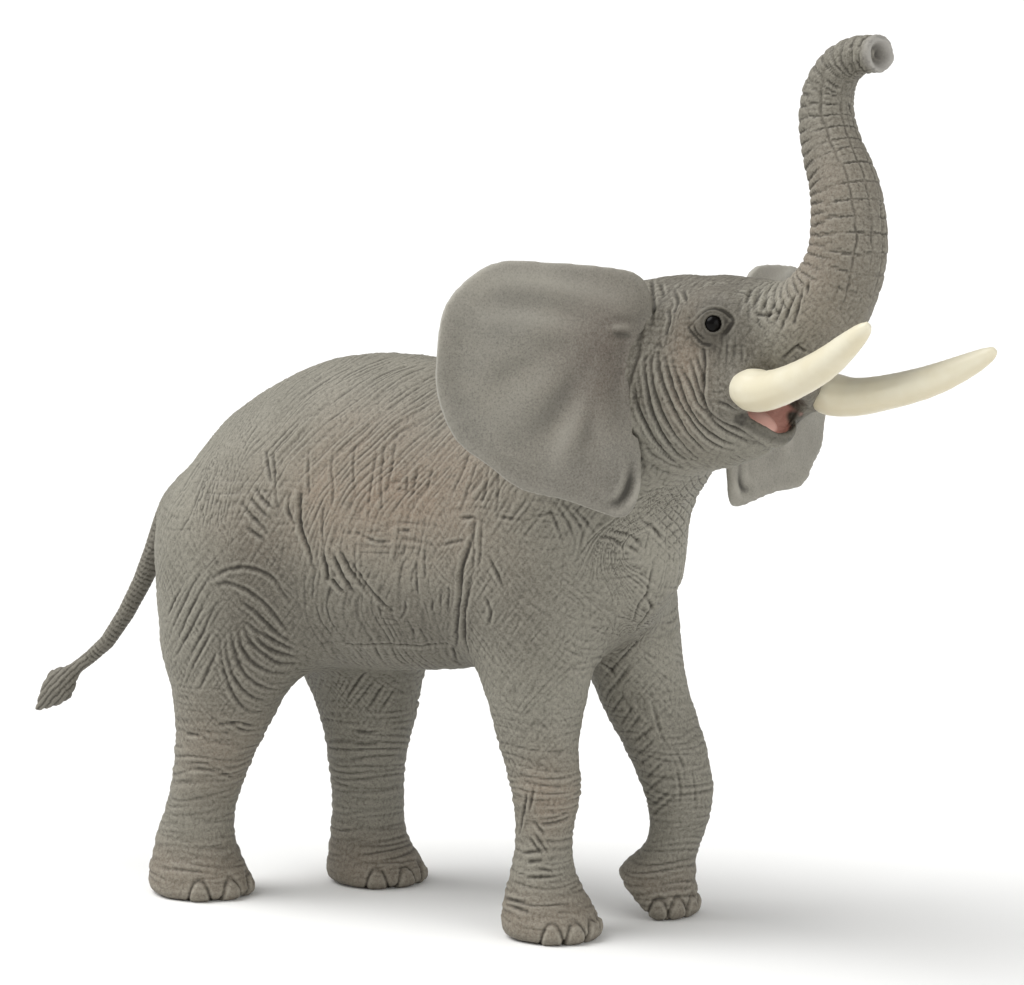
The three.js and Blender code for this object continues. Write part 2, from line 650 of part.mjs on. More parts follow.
// A point just outside the skin on one side, or null where there is no skin
function onSkin(x, z, side) {
  const at = (share) => side * share * (bodyWidth / 2 + bodyBlend);
  const inside = Array.from({ length: SKIN_STEPS }, (_, i) => 1 - i / SKIN_STEPS)
    .find((share) => skin(x, at(share), z) < 0);
  if (inside === undefined) return null;
  let [low, high] = [inside, inside + 1 / SKIN_STEPS];
  for (let i = 0; i < SKIN_HALVINGS; i += 1) {
    const half = (low + high) / 2;
    [low, high] = skin(x, at(half), z) < 0 ? [half, high] : [low, half];
  }
  return new THREE.Vector3(x, at(low) + side * foldStandoff, z);
}
function foldSolids() {
  const made = [];
  for (const { paths, leftShare } of foldGroups) {
    for (const side of [RIGHT, LEFT]) {
      for (const path of paths) {
        const ahead = side === LEFT ? leftShare * bodyLength : 0;
        const points = path.map(onBody).map(({ x, z }) => onSkin(x + ahead, z, side)).filter(Boolean);
        if (points.length === path.length) {
          made.push(sweep(curveThrough(points), FOLD_STEPS * path.length, FOLD_SIDES, (share) => {
            const size = lerp(foldEndShare, 1, Math.sin(Math.PI * share));
            const deep = size * (foldDepth + foldStandoff);
            return [deep, (deep * foldWidth) / (2 * foldDepth)];
          }));
        }
      }
    }
  }
  return made;
}

// Legs

const NAIL_SIDES = 8;
const NAIL_RINGS = 6;
function nails(leg) {
  const height = nailHeightShare * nailRadius;
  const sunk = nailSunkShare * nailRadius;
  const [, x, y, long, wide] = smoothRows(leg.rows)(height);
  return Array.from({ length: leg.nailCount }, (_, i) => {
    const turn = (i / (leg.nailCount - 1) - 0.5) * nailSpread;
    const place = new THREE.Matrix4().compose(
      new THREE.Vector3(x + (long - sunk) * Math.cos(turn), y + (wide - sunk) * Math.sin(turn), height),
      new THREE.Quaternion().setFromAxisAngle(new THREE.Vector3(0, 0, 1), turn),
      new THREE.Vector3(...nailHalfShares).multiplyScalar(nailRadius),
    );
    return solid(new THREE.SphereGeometry(1, NAIL_SIDES, NAIL_RINGS), place);
  });
}
function legSolid(leg, wholeBody) {
  const shaft = wholeBody.intersect(legRegion(leg, 0)).add(legJoint(leg).plug);
  const whole = nails(leg).reduce((a, b) => a.add(b), shaft).intersect(aboveFloor);
  if (!leg.onToes) return whole;
  const heel = new THREE.Vector3(leg.x - heelShare * leg.length, 0, heelLift);
  const underHeel = new THREE.Vector3(-heelLift, 0, -heelRun).normalize();
  return whole.subtract(beyond(heel, underHeel));
}

// Tail with its tuft, flattened from side to side

const TAIL_STEPS = 22;
const TAIL_SIDES = 8;
const tailRoot = onBody([rumpShare + tailRootShares[0], tailRootShares[1]]);
function tailSolid(grow) {
  const tailPoint = ([back, down]) => new THREE.Vector3(
    tailRoot.x - back * tailReach, 0, tailRoot.z - down * tailDrop,
  );
  const tuftAt = (share) => tailPoint(tailShares[tailShares.length - 1])
    .add(new THREE.Vector3(-tuftSlopeShares[0], 0, -tuftSlopeShares[1]).multiplyScalar(share * tuftLength));
  const points = [
    tailRoot.clone().setX(tailRoot.x + tailSeatDepth), ...tailShares.map(tailPoint),
    ...tuftShares.map(([share]) => tuftAt(share)),
  ];
  const sizeAt = evenRows([
    [tailRadius, tailRadius],
    ...tailShares.map((row) => [row[2] * tailRadius, row[2] * tailRadius]),
    ...tuftShares.map((row) => [(tuftFlatShare * row[1] * tuftWidth) / 2, (row[1] * tuftWidth) / 2]),
  ]);
  return sweep(curveThrough(points), TAIL_STEPS, TAIL_SIDES, (share) => {
    const [, across, deep] = sizeAt(share);
    return [across + grow, deep + grow];
  });
}

// Tusks: a bulb at the lip, then a shaft that sweeps out and up to a blunt tip

const TUSK_STEPS = 18;
const TUSK_SIDES = 10;
function tuskSolid(side, grow) {
  const seat = onHead(mirrored(tuskSeatShares, side));
  const raise = side === LEFT ? leftTuskRaise : rightTuskRaise;
  const points = tuskShares.map(([ahead, out, up]) => new THREE.Vector3(ahead, side * out, up)
    .applyAxisAngle(sideways, -raise).multiplyScalar(tuskReach).add(seat));
  const inward = new THREE.Vector3(...mirrored(tuskRootShares, side));
  const root = seat.clone().addScaledVector(inward, tuskSeatDepth);
  const sizeAt = evenRows([[tuskRootShare], ...tuskShares.map((row) => [row[3]])]);
  return sweep(curveThrough([root, ...points]), TUSK_STEPS, TUSK_SIDES, (share) => {
    const radius = tuskRadius * sizeAt(share)[1] + grow;
    return [radius, radius];
  });
}

// Ears: a bowed leaf that thins to its rim, with a tab for its slot in the head

const EAR_RINGS = 4;
const EAR_POINTS = 40;
const EAR_RIPPLES = 9;
const earTwistShares = { [RIGHT]: 0, [LEFT]: 0.3 };
function earFrame(side) {
  const [spread, raise] = side === LEFT ? [leftEarSpread, leftEarRaise] : [rightEarSpread, 0];
  return {
    root: onHead(mirrored(earRootShares, side)).add(new THREE.Vector3(0, 0, raise)),
    outward: new THREE.Vector3(-Math.cos(spread), side * Math.sin(spread), 0),
    forward: new THREE.Vector3(Math.sin(spread), side * Math.cos(spread), 0),
  };
}
function earRelief(side, out, up) {
  const fromRoot = Math.hypot(Math.max(out, 0), up);
  const turn = Math.atan2(up, out + earRippleHubShare);
  const bow = earBowShare * Math.max(out, 0) ** 2 + earTwistShares[side] * up * Math.max(out, 0);
  return earRippleShare * Math.sin(EAR_RIPPLES * turn) * fromRoot ** 2 - bow;
}
function earLeaf(side) {
  const { root, outward, forward } = earFrame(side);
  const outlinePoints = earOutlineShares.map(([out, up]) => new THREE.Vector3(out, up, 0));
  const outline = new THREE.CatmullRomCurve3(outlinePoints, true);
  const hub = new THREE.Vector3(earMiddleShare, 0, 0);
  const rim = Array.from({ length: EAR_POINTS }, (_, i) => outline.getPoint(i / EAR_POINTS));
  const onEar = (point, level, face) => {
    const { x, y } = hub.clone().lerp(point, level);
    const half = lerp(earThickness, earRimThickness, level ** 3) / 2;
    return root.clone().addScaledVector(outward, x * earWidth)
      .addScaledVector(forward, earRelief(side, x, y) * earWidth + face * half)
      .setZ(root.z + y * earHeight);
  };
  const levels = Array.from({ length: EAR_RINGS }, (_, i) => (i + 1) / EAR_RINGS);
  const faceRings = (face) => levels.map((level) => rim.map((point) => onEar(point, level, face)));
  return tube([...faceRings(side), ...faceRings(-side).reverse()]);
}
function earTab(side, grow) {
  const { root, outward } = earFrame(side);
  const upward = new THREE.Vector3(0, 0, 1);
  const place = new THREE.Matrix4().makeBasis(outward, upward, outward.clone().cross(upward));
  place.setPosition(root);
  const sizes = [earTabLength, earTabHeight, earTabThickness].map((size) => size + 2 * grow);
  return solid(new THREE.BoxGeometry(...sizes), place);
}

// Eyes and tongue

const BALL_SIDES = 10;
const BALL_RINGS = 6;
function ball(middle, half, turned = new THREE.Quaternion()) {
  const place = new THREE.Matrix4().compose(middle, turned, half);
  return solid(new THREE.SphereGeometry(1, BALL_SIDES, BALL_RINGS), place);
}
const eyeSolid = (side, grow) => ball(
  onHead(mirrored(eyeShares, side)), new THREE.Vector3(1, 1, 1).multiplyScalar(eyeRadius + grow),
);
const tongueSolid = (grow) => ball(
  onHead(tongueShares),
  new THREE.Vector3(tongueLength / 2 + grow, tongueWidth / 2 + grow, tongueThickness / 2 + grow),
  new THREE.Quaternion().setFromAxisAngle(sideways, tongueSlope),
);

// Trunk: the skin at its root, then a swept shaft whose tip holds two nostrils

const TRUNK_STEPS = 30;
const TRUNK_SIDES = 16;
function trunkSolid(wholeHead) {
  const shaft = sweep(trunkCurve, TRUNK_STEPS, TRUNK_SIDES, (share) => {
    const [, , , across, deep] = trunkSize(share);
    return [across * trunkRadius, deep * trunkRadius];
  });
  const pastSeam = beyond(trunkSeam.clone().addScaledVector(trunkAxis, seamGap), trunkAxis);
  const tip = trunkCurve.getPoint(1);
  const facing = trunkCurve.getTangent(1);
  const nostrils = [RIGHT, LEFT].map((side) => rod(
    tip.clone().setY(side * nostrilOffset).addScaledVector(facing, overrun), facing.clone().negate(),
    nostrilRadius, nostrilDepth + overrun,
  ));
  const whole = shaft.add(wholeHead).intersect(pastSeam).add(trunkJoint.plug);
  return nostrils.reduce((a, b) => a.subtract(b), whole);
}

// Meshes

// The largest body of a cut solid, without the slivers that a cutter can leave
function mainBody(made) {
  const { vertProperties, triVerts } = made.getMesh();
  const group = Array.from({ length: vertProperties.length / 3 }, (_, i) => i);
  const leader = (i) => {
    let top = i;
    while (group[top] !== top) top = group[top] = group[group[top]];
    return top;
  };
  for (let t = 0; t < triVerts.length; t += 3) {
    group[leader(triVerts[t])] = leader(triVerts[t + 1]);
    group[leader(triVerts[t + 1])] = leader(triVerts[t + 2]);
  }
  const sizes = new Map();
  for (const vertex of triVerts) sizes.set(leader(vertex), (sizes.get(leader(vertex)) ?? 0) + 1);
  const largest = [...sizes].reduce((a, b) => (a[1] > b[1] ? a : b))[0];
  const geometry = new THREE.BufferGeometry();
  geometry.setAttribute("position", new THREE.BufferAttribute(new Float32Array(vertProperties), 3));
  return geometry.setIndex([...triVerts].filter((vertex) => leader(vertex) === largest));
}

const finish = (color, roughness) => new THREE.MeshStandardMaterial({ color, roughness, metalness: 0 });
const hide = finish(0x8f8c84, 0.8);
const ivory = finish(0xeee6c8, 0.4);
const gloss = finish(0x0c0b0a, 0.08);
const mouthPink = finish(0xc47e74, 0.45);
function piece(name, made, material) {
  const mesh = new THREE.Mesh(mainBody(made), material);
  mesh.name = name;
  return mesh;
}

// Head group
const headGroup = new THREE.Group();
headGroup.applyMatrix4(headPose);
const wholeHead = polygonise(skinFromHead, headBox, headCell);
const headGuard = polygonise(grown(skinFromHead, seamGap), headBox, headCell);
let head = wholeHead.intersect(beyond(neckSeam, neckAxis)).subtract(beyond(trunkSeam, trunkAxis))
  .subtract(trunkJoint.seat).subtract(jawRegion(seamGap)).subtract(jawJoint.seat)
  .add(plugAndSeat(neckSeam, bodyward, neckPlugRadius, neckPlugLength).plug)
  .subtract(tongueSolid(seatClearance));
let jaw = wholeHead.intersect(jawRegion(0)).add(jawJoint.plug).subtract(tongueSolid(seatClearance));
for (const [side, label] of [[RIGHT, "right"], [LEFT, "left"]]) {
  head = head.subtract(tuskSolid(side, seatClearance)).subtract(eyeSolid(side, seatClearance))
    .subtract(earTab(side, seatClearance));
  jaw = jaw.subtract(tuskSolid(side, seatClearance));
  headGroup.add(
    piece(`${label}_tusk`, tuskSolid(side, 0), ivory),
    piece(`${label}_eye`, eyeSolid(side, 0), gloss),
    piece(`${label}_ear`, earLeaf(side).subtract(headGuard).add(earTab(side, 0)), hide),
  );
}
headGroup.add(
  piece("head", head, hide),
  piece("lower_jaw", jaw, hide),
  piece("tongue", tongueSolid(0), mouthPink),
  piece("trunk", trunkSolid(wholeHead), hide),
);

// Body group
const figure = new THREE.Group();
const wholeBody = foldSolids().reduce((a, b) => a.subtract(b), polygonise(skin, bodyBox, bodyCell));
let torso = wholeBody
  .subtract(beyond(neckPoint.clone().addScaledVector(neckBack, seamGap), neckBack.clone().negate()))
  .subtract(plugAndSeat(neckPoint, neckBack, neckPlugRadius, neckPlugLength).seat)
  .subtract(tailSolid(seatClearance));
for (const leg of legs) {
  torso = torso.subtract(legRegion(leg, seamGap)).subtract(legJoint(leg).seat);
  figure.add(piece(leg.name, legSolid(leg, wholeBody), hide));
}
figure.add(piece("torso", torso, hide), piece("tail", tailSolid(0), hide), headGroup);

// The origin is on the floor under the middle of the bounding box.
const middle = new THREE.Box3().setFromObject(figure, true).getCenter(new THREE.Vector3());
figure.position.set(-middle.x, -middle.y, 0);
const part = new THREE.Group();
part.add(figure);
export default part;
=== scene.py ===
# A moulded toy elephant with a hand-painted hide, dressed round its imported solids.
# Shapes are worked out in millimetres in the frame of the solids, and MM turns them to metres.
import math

import bmesh
import bpy
import numpy as np
from mathutils import Matrix, Vector
from mathutils.bvhtree import BVHTree
from mathutils.kdtree import KDTree


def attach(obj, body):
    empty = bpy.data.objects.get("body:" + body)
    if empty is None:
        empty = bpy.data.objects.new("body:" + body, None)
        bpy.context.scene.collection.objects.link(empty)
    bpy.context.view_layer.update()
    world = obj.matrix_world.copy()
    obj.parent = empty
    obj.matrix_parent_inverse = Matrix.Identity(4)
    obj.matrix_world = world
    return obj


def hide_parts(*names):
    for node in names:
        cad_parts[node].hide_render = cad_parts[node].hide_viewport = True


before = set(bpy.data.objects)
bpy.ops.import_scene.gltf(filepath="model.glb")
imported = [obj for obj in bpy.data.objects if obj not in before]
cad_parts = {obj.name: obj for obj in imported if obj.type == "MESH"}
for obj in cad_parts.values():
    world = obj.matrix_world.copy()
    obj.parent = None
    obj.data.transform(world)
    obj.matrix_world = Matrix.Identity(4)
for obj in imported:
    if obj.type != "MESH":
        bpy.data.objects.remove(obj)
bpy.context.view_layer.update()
MM = 0.001

# Camera: where the photograph was taken from
PICTURE = (1024, 985)
AZIMUTH = math.radians(31)
ELEVATION = math.radians(7.5)
CAMERA_DISTANCE = 900.0
PIXELS_PER_MM = 5.2
SENSOR = 36.0
LOOKED_AT = np.array((10.074, -8.068, 85.0))
BACKWARD = np.array((
    math.sin(AZIMUTH) * math.cos(ELEVATION), -math.cos(AZIMUTH) * math.cos(ELEVATION), math.sin(ELEVATION),
))
RIGHTWARD = np.array((math.cos(AZIMUTH), math.sin(AZIMUTH), 0.0))
UPWARD = np.cross(BACKWARD, RIGHTWARD)
CAMERA_POINT = LOOKED_AT + CAMERA_DISTANCE * BACKWARD
FOCAL_PIXELS = PIXELS_PER_MM * CAMERA_DISTANCE

# The head's own frame, and the seams between the mouldings: a point and the way to the part beyond it
MIDDLE_Y = -0.488
HEAD_POINT = np.array((25.788, MIDDLE_Y, 108.02))
HEAD_AXES = np.array(((0.966, -0.259, 0.0), (0.257, 0.961, -0.105), (0.027, 0.101, 0.995)))
NECK_SEAM = ((39.697, -4.215, 108.02), (0.893, -0.195, 0.405))
JAW_SEAM = ((69.235, -12.67, 103.047), (0.207, -0.161, -0.965))
JAW_HINGE = ((55.708, -9.37, 100.064), (0.966, -0.259, 0.0))
TRUNK_SEAM = ((75.254, -12.419, 120.177), (0.831, -0.165, 0.531))
LEG_SEAM_SLOPE = math.radians(49)
TRUNK_LINE = (
    (58.8, -8.7, 113.7), (65.6, -10.2, 117.0), (74.4, -12.2, 119.7), (82.1, -13.6, 126.6),
    (84.4, -13.5, 133.1), (84.4, -12.8, 139.0), (82.9, -11.6, 146.5), (79.7, -10.1, 152.4),
    (77.6, -8.8, 158.9), (77.7, -8.3, 163.7), (79.8, -8.5, 167.5), (83.3, -9.1, 170.1), (90.1, -10.9, 170.7),
)
TAIL_LINE = (
    (-73.2, MIDDLE_Y, 77), (-77.5, MIDDLE_Y, 70.3), (-82.6, MIDDLE_Y, 59.6), (-91.7, MIDDLE_Y, 46.3),
    (-99.4, MIDDLE_Y, 40.4), (-110, MIDDLE_Y, 30.2),
)
EYES = {"right": (61.47, -22.17, 121.24), "left": (68.18, 2.85, 118.51)}
EYE_RADIUS = 1.75
EYE_FORWARD = 0.2
TUSK_SEATS = {"right": (69.9, -21.3, 109.4), "left": (74.4, -4.4, 107.6)}
EARS = {
    # the root, and the leaf's ways outward and forward
    "right": {
        "root": (44.37, -20.15, 107.02), "outward": (-0.655, -0.75, 0.094), "forward": (0.755, -0.654, 0.046),
    },
    "left": {
        "root": (51.65, 7.0, 106.58), "outward": (0.086, 0.991, -0.103), "forward": (0.996, -0.088, -0.018),
    },
}
RIGHT, LEFT = -1, 1
FRONT = {"ahead": 1, "fold": 2.3, "seam": 63.2, "nails": 5}
LEGS = {
    "front_right_leg": {**FRONT, "side": RIGHT, "seam_y": -12.25, "foot": (21.2, -12.25), "half": (9.9, 9.4)},
    "front_left_leg": {**FRONT, "side": LEFT, "seam_y": 16.3, "foot": (28.9, 16.3), "half": (8.0, 8.4)},
    "hind_right_leg": {
        "ahead": -1, "side": RIGHT, "fold": -31.2, "seam": 60.0, "seam_y": -14.5, "foot": (-59.1, -14.5),
        "half": (11.2, 10.3), "nails": 4,
    },
    "hind_left_leg": {
        "ahead": -1, "side": LEFT, "fold": -18.3, "seam": 60.0, "seam_y": 13.5, "foot": (-34.8, 13.5),
        "half": (10.6, 10.3), "nails": 4,
    },
}

SKIN_NODES = ("torso", "head", "lower_jaw", "trunk", *LEGS)
SEAM_GROWTH = 0.3  # so that neighbouring solids overlap and fuse
ROUGH_CELL = 1.0  # where the solids are fused
SKIN_CELL = 0.66  # halved once more before the relief
EAR_CELL, TUSK_CELL, TAIL_CELL = 0.46, 0.45, 0.4
WELD = 0.01 * MM

# The open mouth: its corners' middle in the head frame and how far it slopes, then its hollow and its tongue
# as a middle and a reach along, across and up
MOUTH_CORNER = np.array((39.0, 0.0, -3.0))
MOUTH_SLOPE = math.radians(28.5)
MOUTH_AXES = np.array((
    (math.cos(MOUTH_SLOPE), 0, -math.sin(MOUTH_SLOPE)),
    (0, 1, 0),
    (math.sin(MOUTH_SLOPE), 0, math.cos(MOUTH_SLOPE)),
))
MOUTH_HOLLOW = ((5.5, 0.0, 2.6), (7.5, 6.6, 4.2))
TONGUE = ((3.2, 0.0, -0.9), (4.2, 3.2, 1.4))

# Where the photograph shows some places of the near side
THROAT_SEEN = (692, 498)
CHIN_SEEN = (718, 436)
SNOUT_SEEN = (730, 338)
EAR_HOLLOW_SEEN = (603, 350)


# Numbers over a whole mesh

def step(low, high, values):
    """0 before low, 1 past high and a smooth rise between them, also where high is the lower number."""
    share = np.clip((values - low) / (high - low), 0, 1)
    return share * share * (3 - 2 * share)


def near(points, middle, reach):
    """1 at a point, falling smoothly to 0 some way past its reach along each axis."""
    return np.exp(-(((points - np.array(middle)) / np.array(reach)) ** 2).sum(-1))


rng = np.random.default_rng(7)
SHUFFLED = rng.permutation(256)
GRADIENTS = rng.normal(size=(256, 3))
GRADIENTS /= np.linalg.norm(GRADIENTS, axis=1)[:, None]
CORNERS = [(i, j, k) for i in (0, 1) for j in (0, 1) for k in (0, 1)]


def noise(points, seed=0):
    """Smooth noise of about -1 to 1 whose features are one unit across."""
    cell = np.floor(points).astype(np.int64)
    within = points - cell
    ease = within ** 3 * (within * (within * 6 - 15) + 10)
    total = np.zeros(len(points))
    for corner in CORNERS:
        i, j, k = (cell + corner + seed * 31).T & 255
        gradient = GRADIENTS[SHUFFLED[(SHUFFLED[(SHUFFLED[i] + j) & 255] + k) & 255]]
        weight = np.prod(np.where(corner, ease, 1 - ease), axis=1)
        total += weight * ((within - corner) * gradient).sum(1)
    return total * 1.7


def creases(coordinates, seed, thin=0.17):
    """1 along the lines where a noise crosses zero and 0 between them, like folds in hide."""
    return np.exp(-((noise(np.stack(coordinates, 1), seed) / thin) ** 2))


def smooth_path(points, spacing):
    """Points about the spacing apart on one smooth curve through the given ones."""
    given = np.asarray(points, float)
    given = np.vstack((2 * given[0] - given[1], given, 2 * given[-1] - given[-2]))
    made = []
    for a, b, c, d in zip(given, given[1:], given[2:], given[3:]):
        count = max(1, math.ceil(np.linalg.norm(c - b) / spacing))
        t = (np.arange(count) / count)[:, None]
        bend, twist = 2 * a - 5 * b + 4 * c - d, 3 * b - a - 3 * c + d
        made.append((2 * b + (c - a) * t + bend * t**2 + twist * t**3) / 2)
    return np.vstack((*made, given[-2]))


def places(mesh):
    """A mesh's vertices in millimetres."""
    flat = np.empty(len(mesh.vertices) * 3, np.float32)
    mesh.vertices.foreach_get("co", flat)
    return flat.reshape(-1, 3).astype(float) / MM


def put(mesh, points):
    mesh.vertices.foreach_set("co", (points * MM).astype(np.float32).ravel())
    mesh.update()


def normals(mesh):
    flat = np.empty(len(mesh.vertices) * 3, np.float32)
    mesh.vertex_normals.foreach_get("vector", flat)
    return flat.reshape(-1, 3).astype(float)


def joined(mesh):
    """The vertices at the two ends of each edge."""
    flat = np.empty(len(mesh.edges) * 2, np.int32)
    mesh.edges.foreach_get("vertices", flat)
    return flat.reshape(-1, 2).T


def around(values, ends):
    """The mean of each vertex's neighbours."""
    a, b = ends
    count = np.bincount(np.concatenate(ends), minlength=len(values))
    columns = [
        (np.bincount(a, v[b], len(values)) + np.bincount(b, v[a], len(values))) / count
        for v in values.reshape(len(values), -1).T
    ]
    return np.stack(columns, 1).reshape(values.shape)


def relaxed(values, ends, passes, pull=0.5):
    for _ in range(passes):
        values = values + pull * (around(values, ends) - values)
    return values


def in_head(points):
    return (points - HEAD_POINT) @ HEAD_AXES.T


def in_mouth(points):
    return (in_head(points) - MOUTH_CORNER) @ MOUTH_AXES.T


def mirrored(ways):
    """Directions taken to the other side of the head."""
    return (ways @ HEAD_AXES.T * (1, -1, 1)) @ HEAD_AXES


def inside(points, planes, margin=0.0):
    """Which points lie beyond all of the planes."""
    kept = np.ones(len(points), bool)
    for point, way in planes:
        kept &= (points - np.array(point)) @ np.array(way) > -margin
    return kept


# Meshes

def cad_copy(node, grow=0.0):
    """A merged copy of a solid, pushed outwards."""
    made = bmesh.new()
    made.from_mesh(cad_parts[node].data)
    bmesh.ops.remove_doubles(made, verts=made.verts, dist=WELD)
    made.normal_update()
    for vertex in made.verts:
        vertex.co += vertex.normal * grow * MM
    return made


def keep_side(made, point, way):
    """Cuts off what lies past a plane and closes the cut."""
    whole = made.verts[:] + made.edges[:] + made.faces[:]
    cut = bmesh.ops.bisect_plane(
        made, geom=whole, plane_co=Vector(point) * MM, plane_no=way, clear_outer=True, dist=WELD,
    )
    rim = [e for e in cut["geom_cut"] if isinstance(e, bmesh.types.BMEdge)]
    bmesh.ops.holes_fill(made, edges=rim, sides=0)
    return made


def tree_of(mesh):
    """A search tree over a mesh's faces."""
    held = bmesh.new()
    held.from_mesh(mesh)
    made = BVHTree.FromBMesh(held)
    held.free()
    return made


def mesh_of(made, name):
    mesh = bpy.data.meshes.new(name)
    made.to_mesh(mesh)
    made.free()
    return mesh


def link(mesh, name):
    made = bpy.data.objects.new(name, mesh)
    bpy.context.scene.collection.objects.link(made)
    return made


def ball(middle, axes, reach, rings=32):
    """An ellipsoid: its middle, the directions of its axes, and how far it reaches along each."""
    made = bmesh.new()
    bmesh.ops.create_uvsphere(made, u_segments=2 * rings, v_segments=rings, radius=MM)
    turn = Matrix(np.array(axes).T * np.array(reach)).to_4x4()
    bmesh.ops.transform(made, matrix=Matrix.Translation(Vector(middle) * MM) @ turn, verts=made.verts)
    bmesh.ops.recalc_face_normals(made, faces=made.faces)
    return made


def mouth_ball(middle, reach, rings=32):
    place = HEAD_POINT + (MOUTH_CORNER + np.array(middle) @ MOUTH_AXES) @ HEAD_AXES
    return ball(place, MOUTH_AXES @ HEAD_AXES, reach, rings)


def baked(mesh, kind, **settings):
    """A mesh after one modifier."""
    holder = link(mesh, "holder")
    modifier = holder.modifiers.new(kind.lower(), kind)
    for key, value in settings.items():
        setattr(modifier, key, value)
    shaped = holder.evaluated_get(bpy.context.evaluated_depsgraph_get())
    made = bpy.data.meshes.new_from_object(shaped)
    bpy.data.objects.remove(holder)
    bpy.data.meshes.remove(mesh)
    return made


def revoxelled(mesh, cell):
    return baked(mesh, "REMESH", mode="VOXEL", voxel_size=cell * MM)


def store(mesh, name, values):
    attribute = mesh.attributes.get(name) or mesh.attributes.new(name, "FLOAT", "POINT")
    attribute.data.foreach_set("value", values.astype(np.float32))


# Folds, drawn where the photograph shows them

def sight(px, py):
    """The way from the camera through a point of the picture."""
    way = -BACKWARD * FOCAL_PIXELS + RIGHTWARD * (px - PICTURE[0] / 2) - UPWARD * (py - PICTURE[1] / 2)
    return way / np.linalg.norm(way)


def seen(tree, px, py):
    """The point of a surface behind a point of the picture, or None."""
    hit = tree.ray_cast(Vector(CAMERA_POINT * MM), Vector(sight(px, py)))[0]
    return None if hit is None else np.array(hit) / MM


def settled(tree, points):
    """Points moved to the nearest points of a surface."""
    return np.array([np.array(tree.find_nearest(Vector(p * MM))[0]) / MM for p in points])


PATH_SPACING = 0.3


def groove(points, path, width, depth):
    """How far a fold along a path sinks each point, shallow at its ends and with raised lips."""
    low, high = path.min(0) - 4 * width, path.max(0) + 4 * width
    chosen = np.flatnonzero(((points > low) & (points < high)).all(1))
    sunk = np.zeros(len(points))
    if not len(chosen):
        return sunk
    share = np.linspace(0, 1, len(path))
    taper = np.sin(np.pi * np.clip(share, 0.02, 0.98)) ** 0.6
    gap = np.linalg.norm(points[chosen, None] - path[None], axis=2)
    nearest = gap.argmin(1)
    gap = gap[np.arange(len(chosen)), nearest] / width
    valley = np.exp(-(gap**2)) - 0.3 * np.exp(-(((gap - 2.1) / 0.9) ** 2))
    sunk[chosen] = depth * taper[nearest] * valley
    return sunk


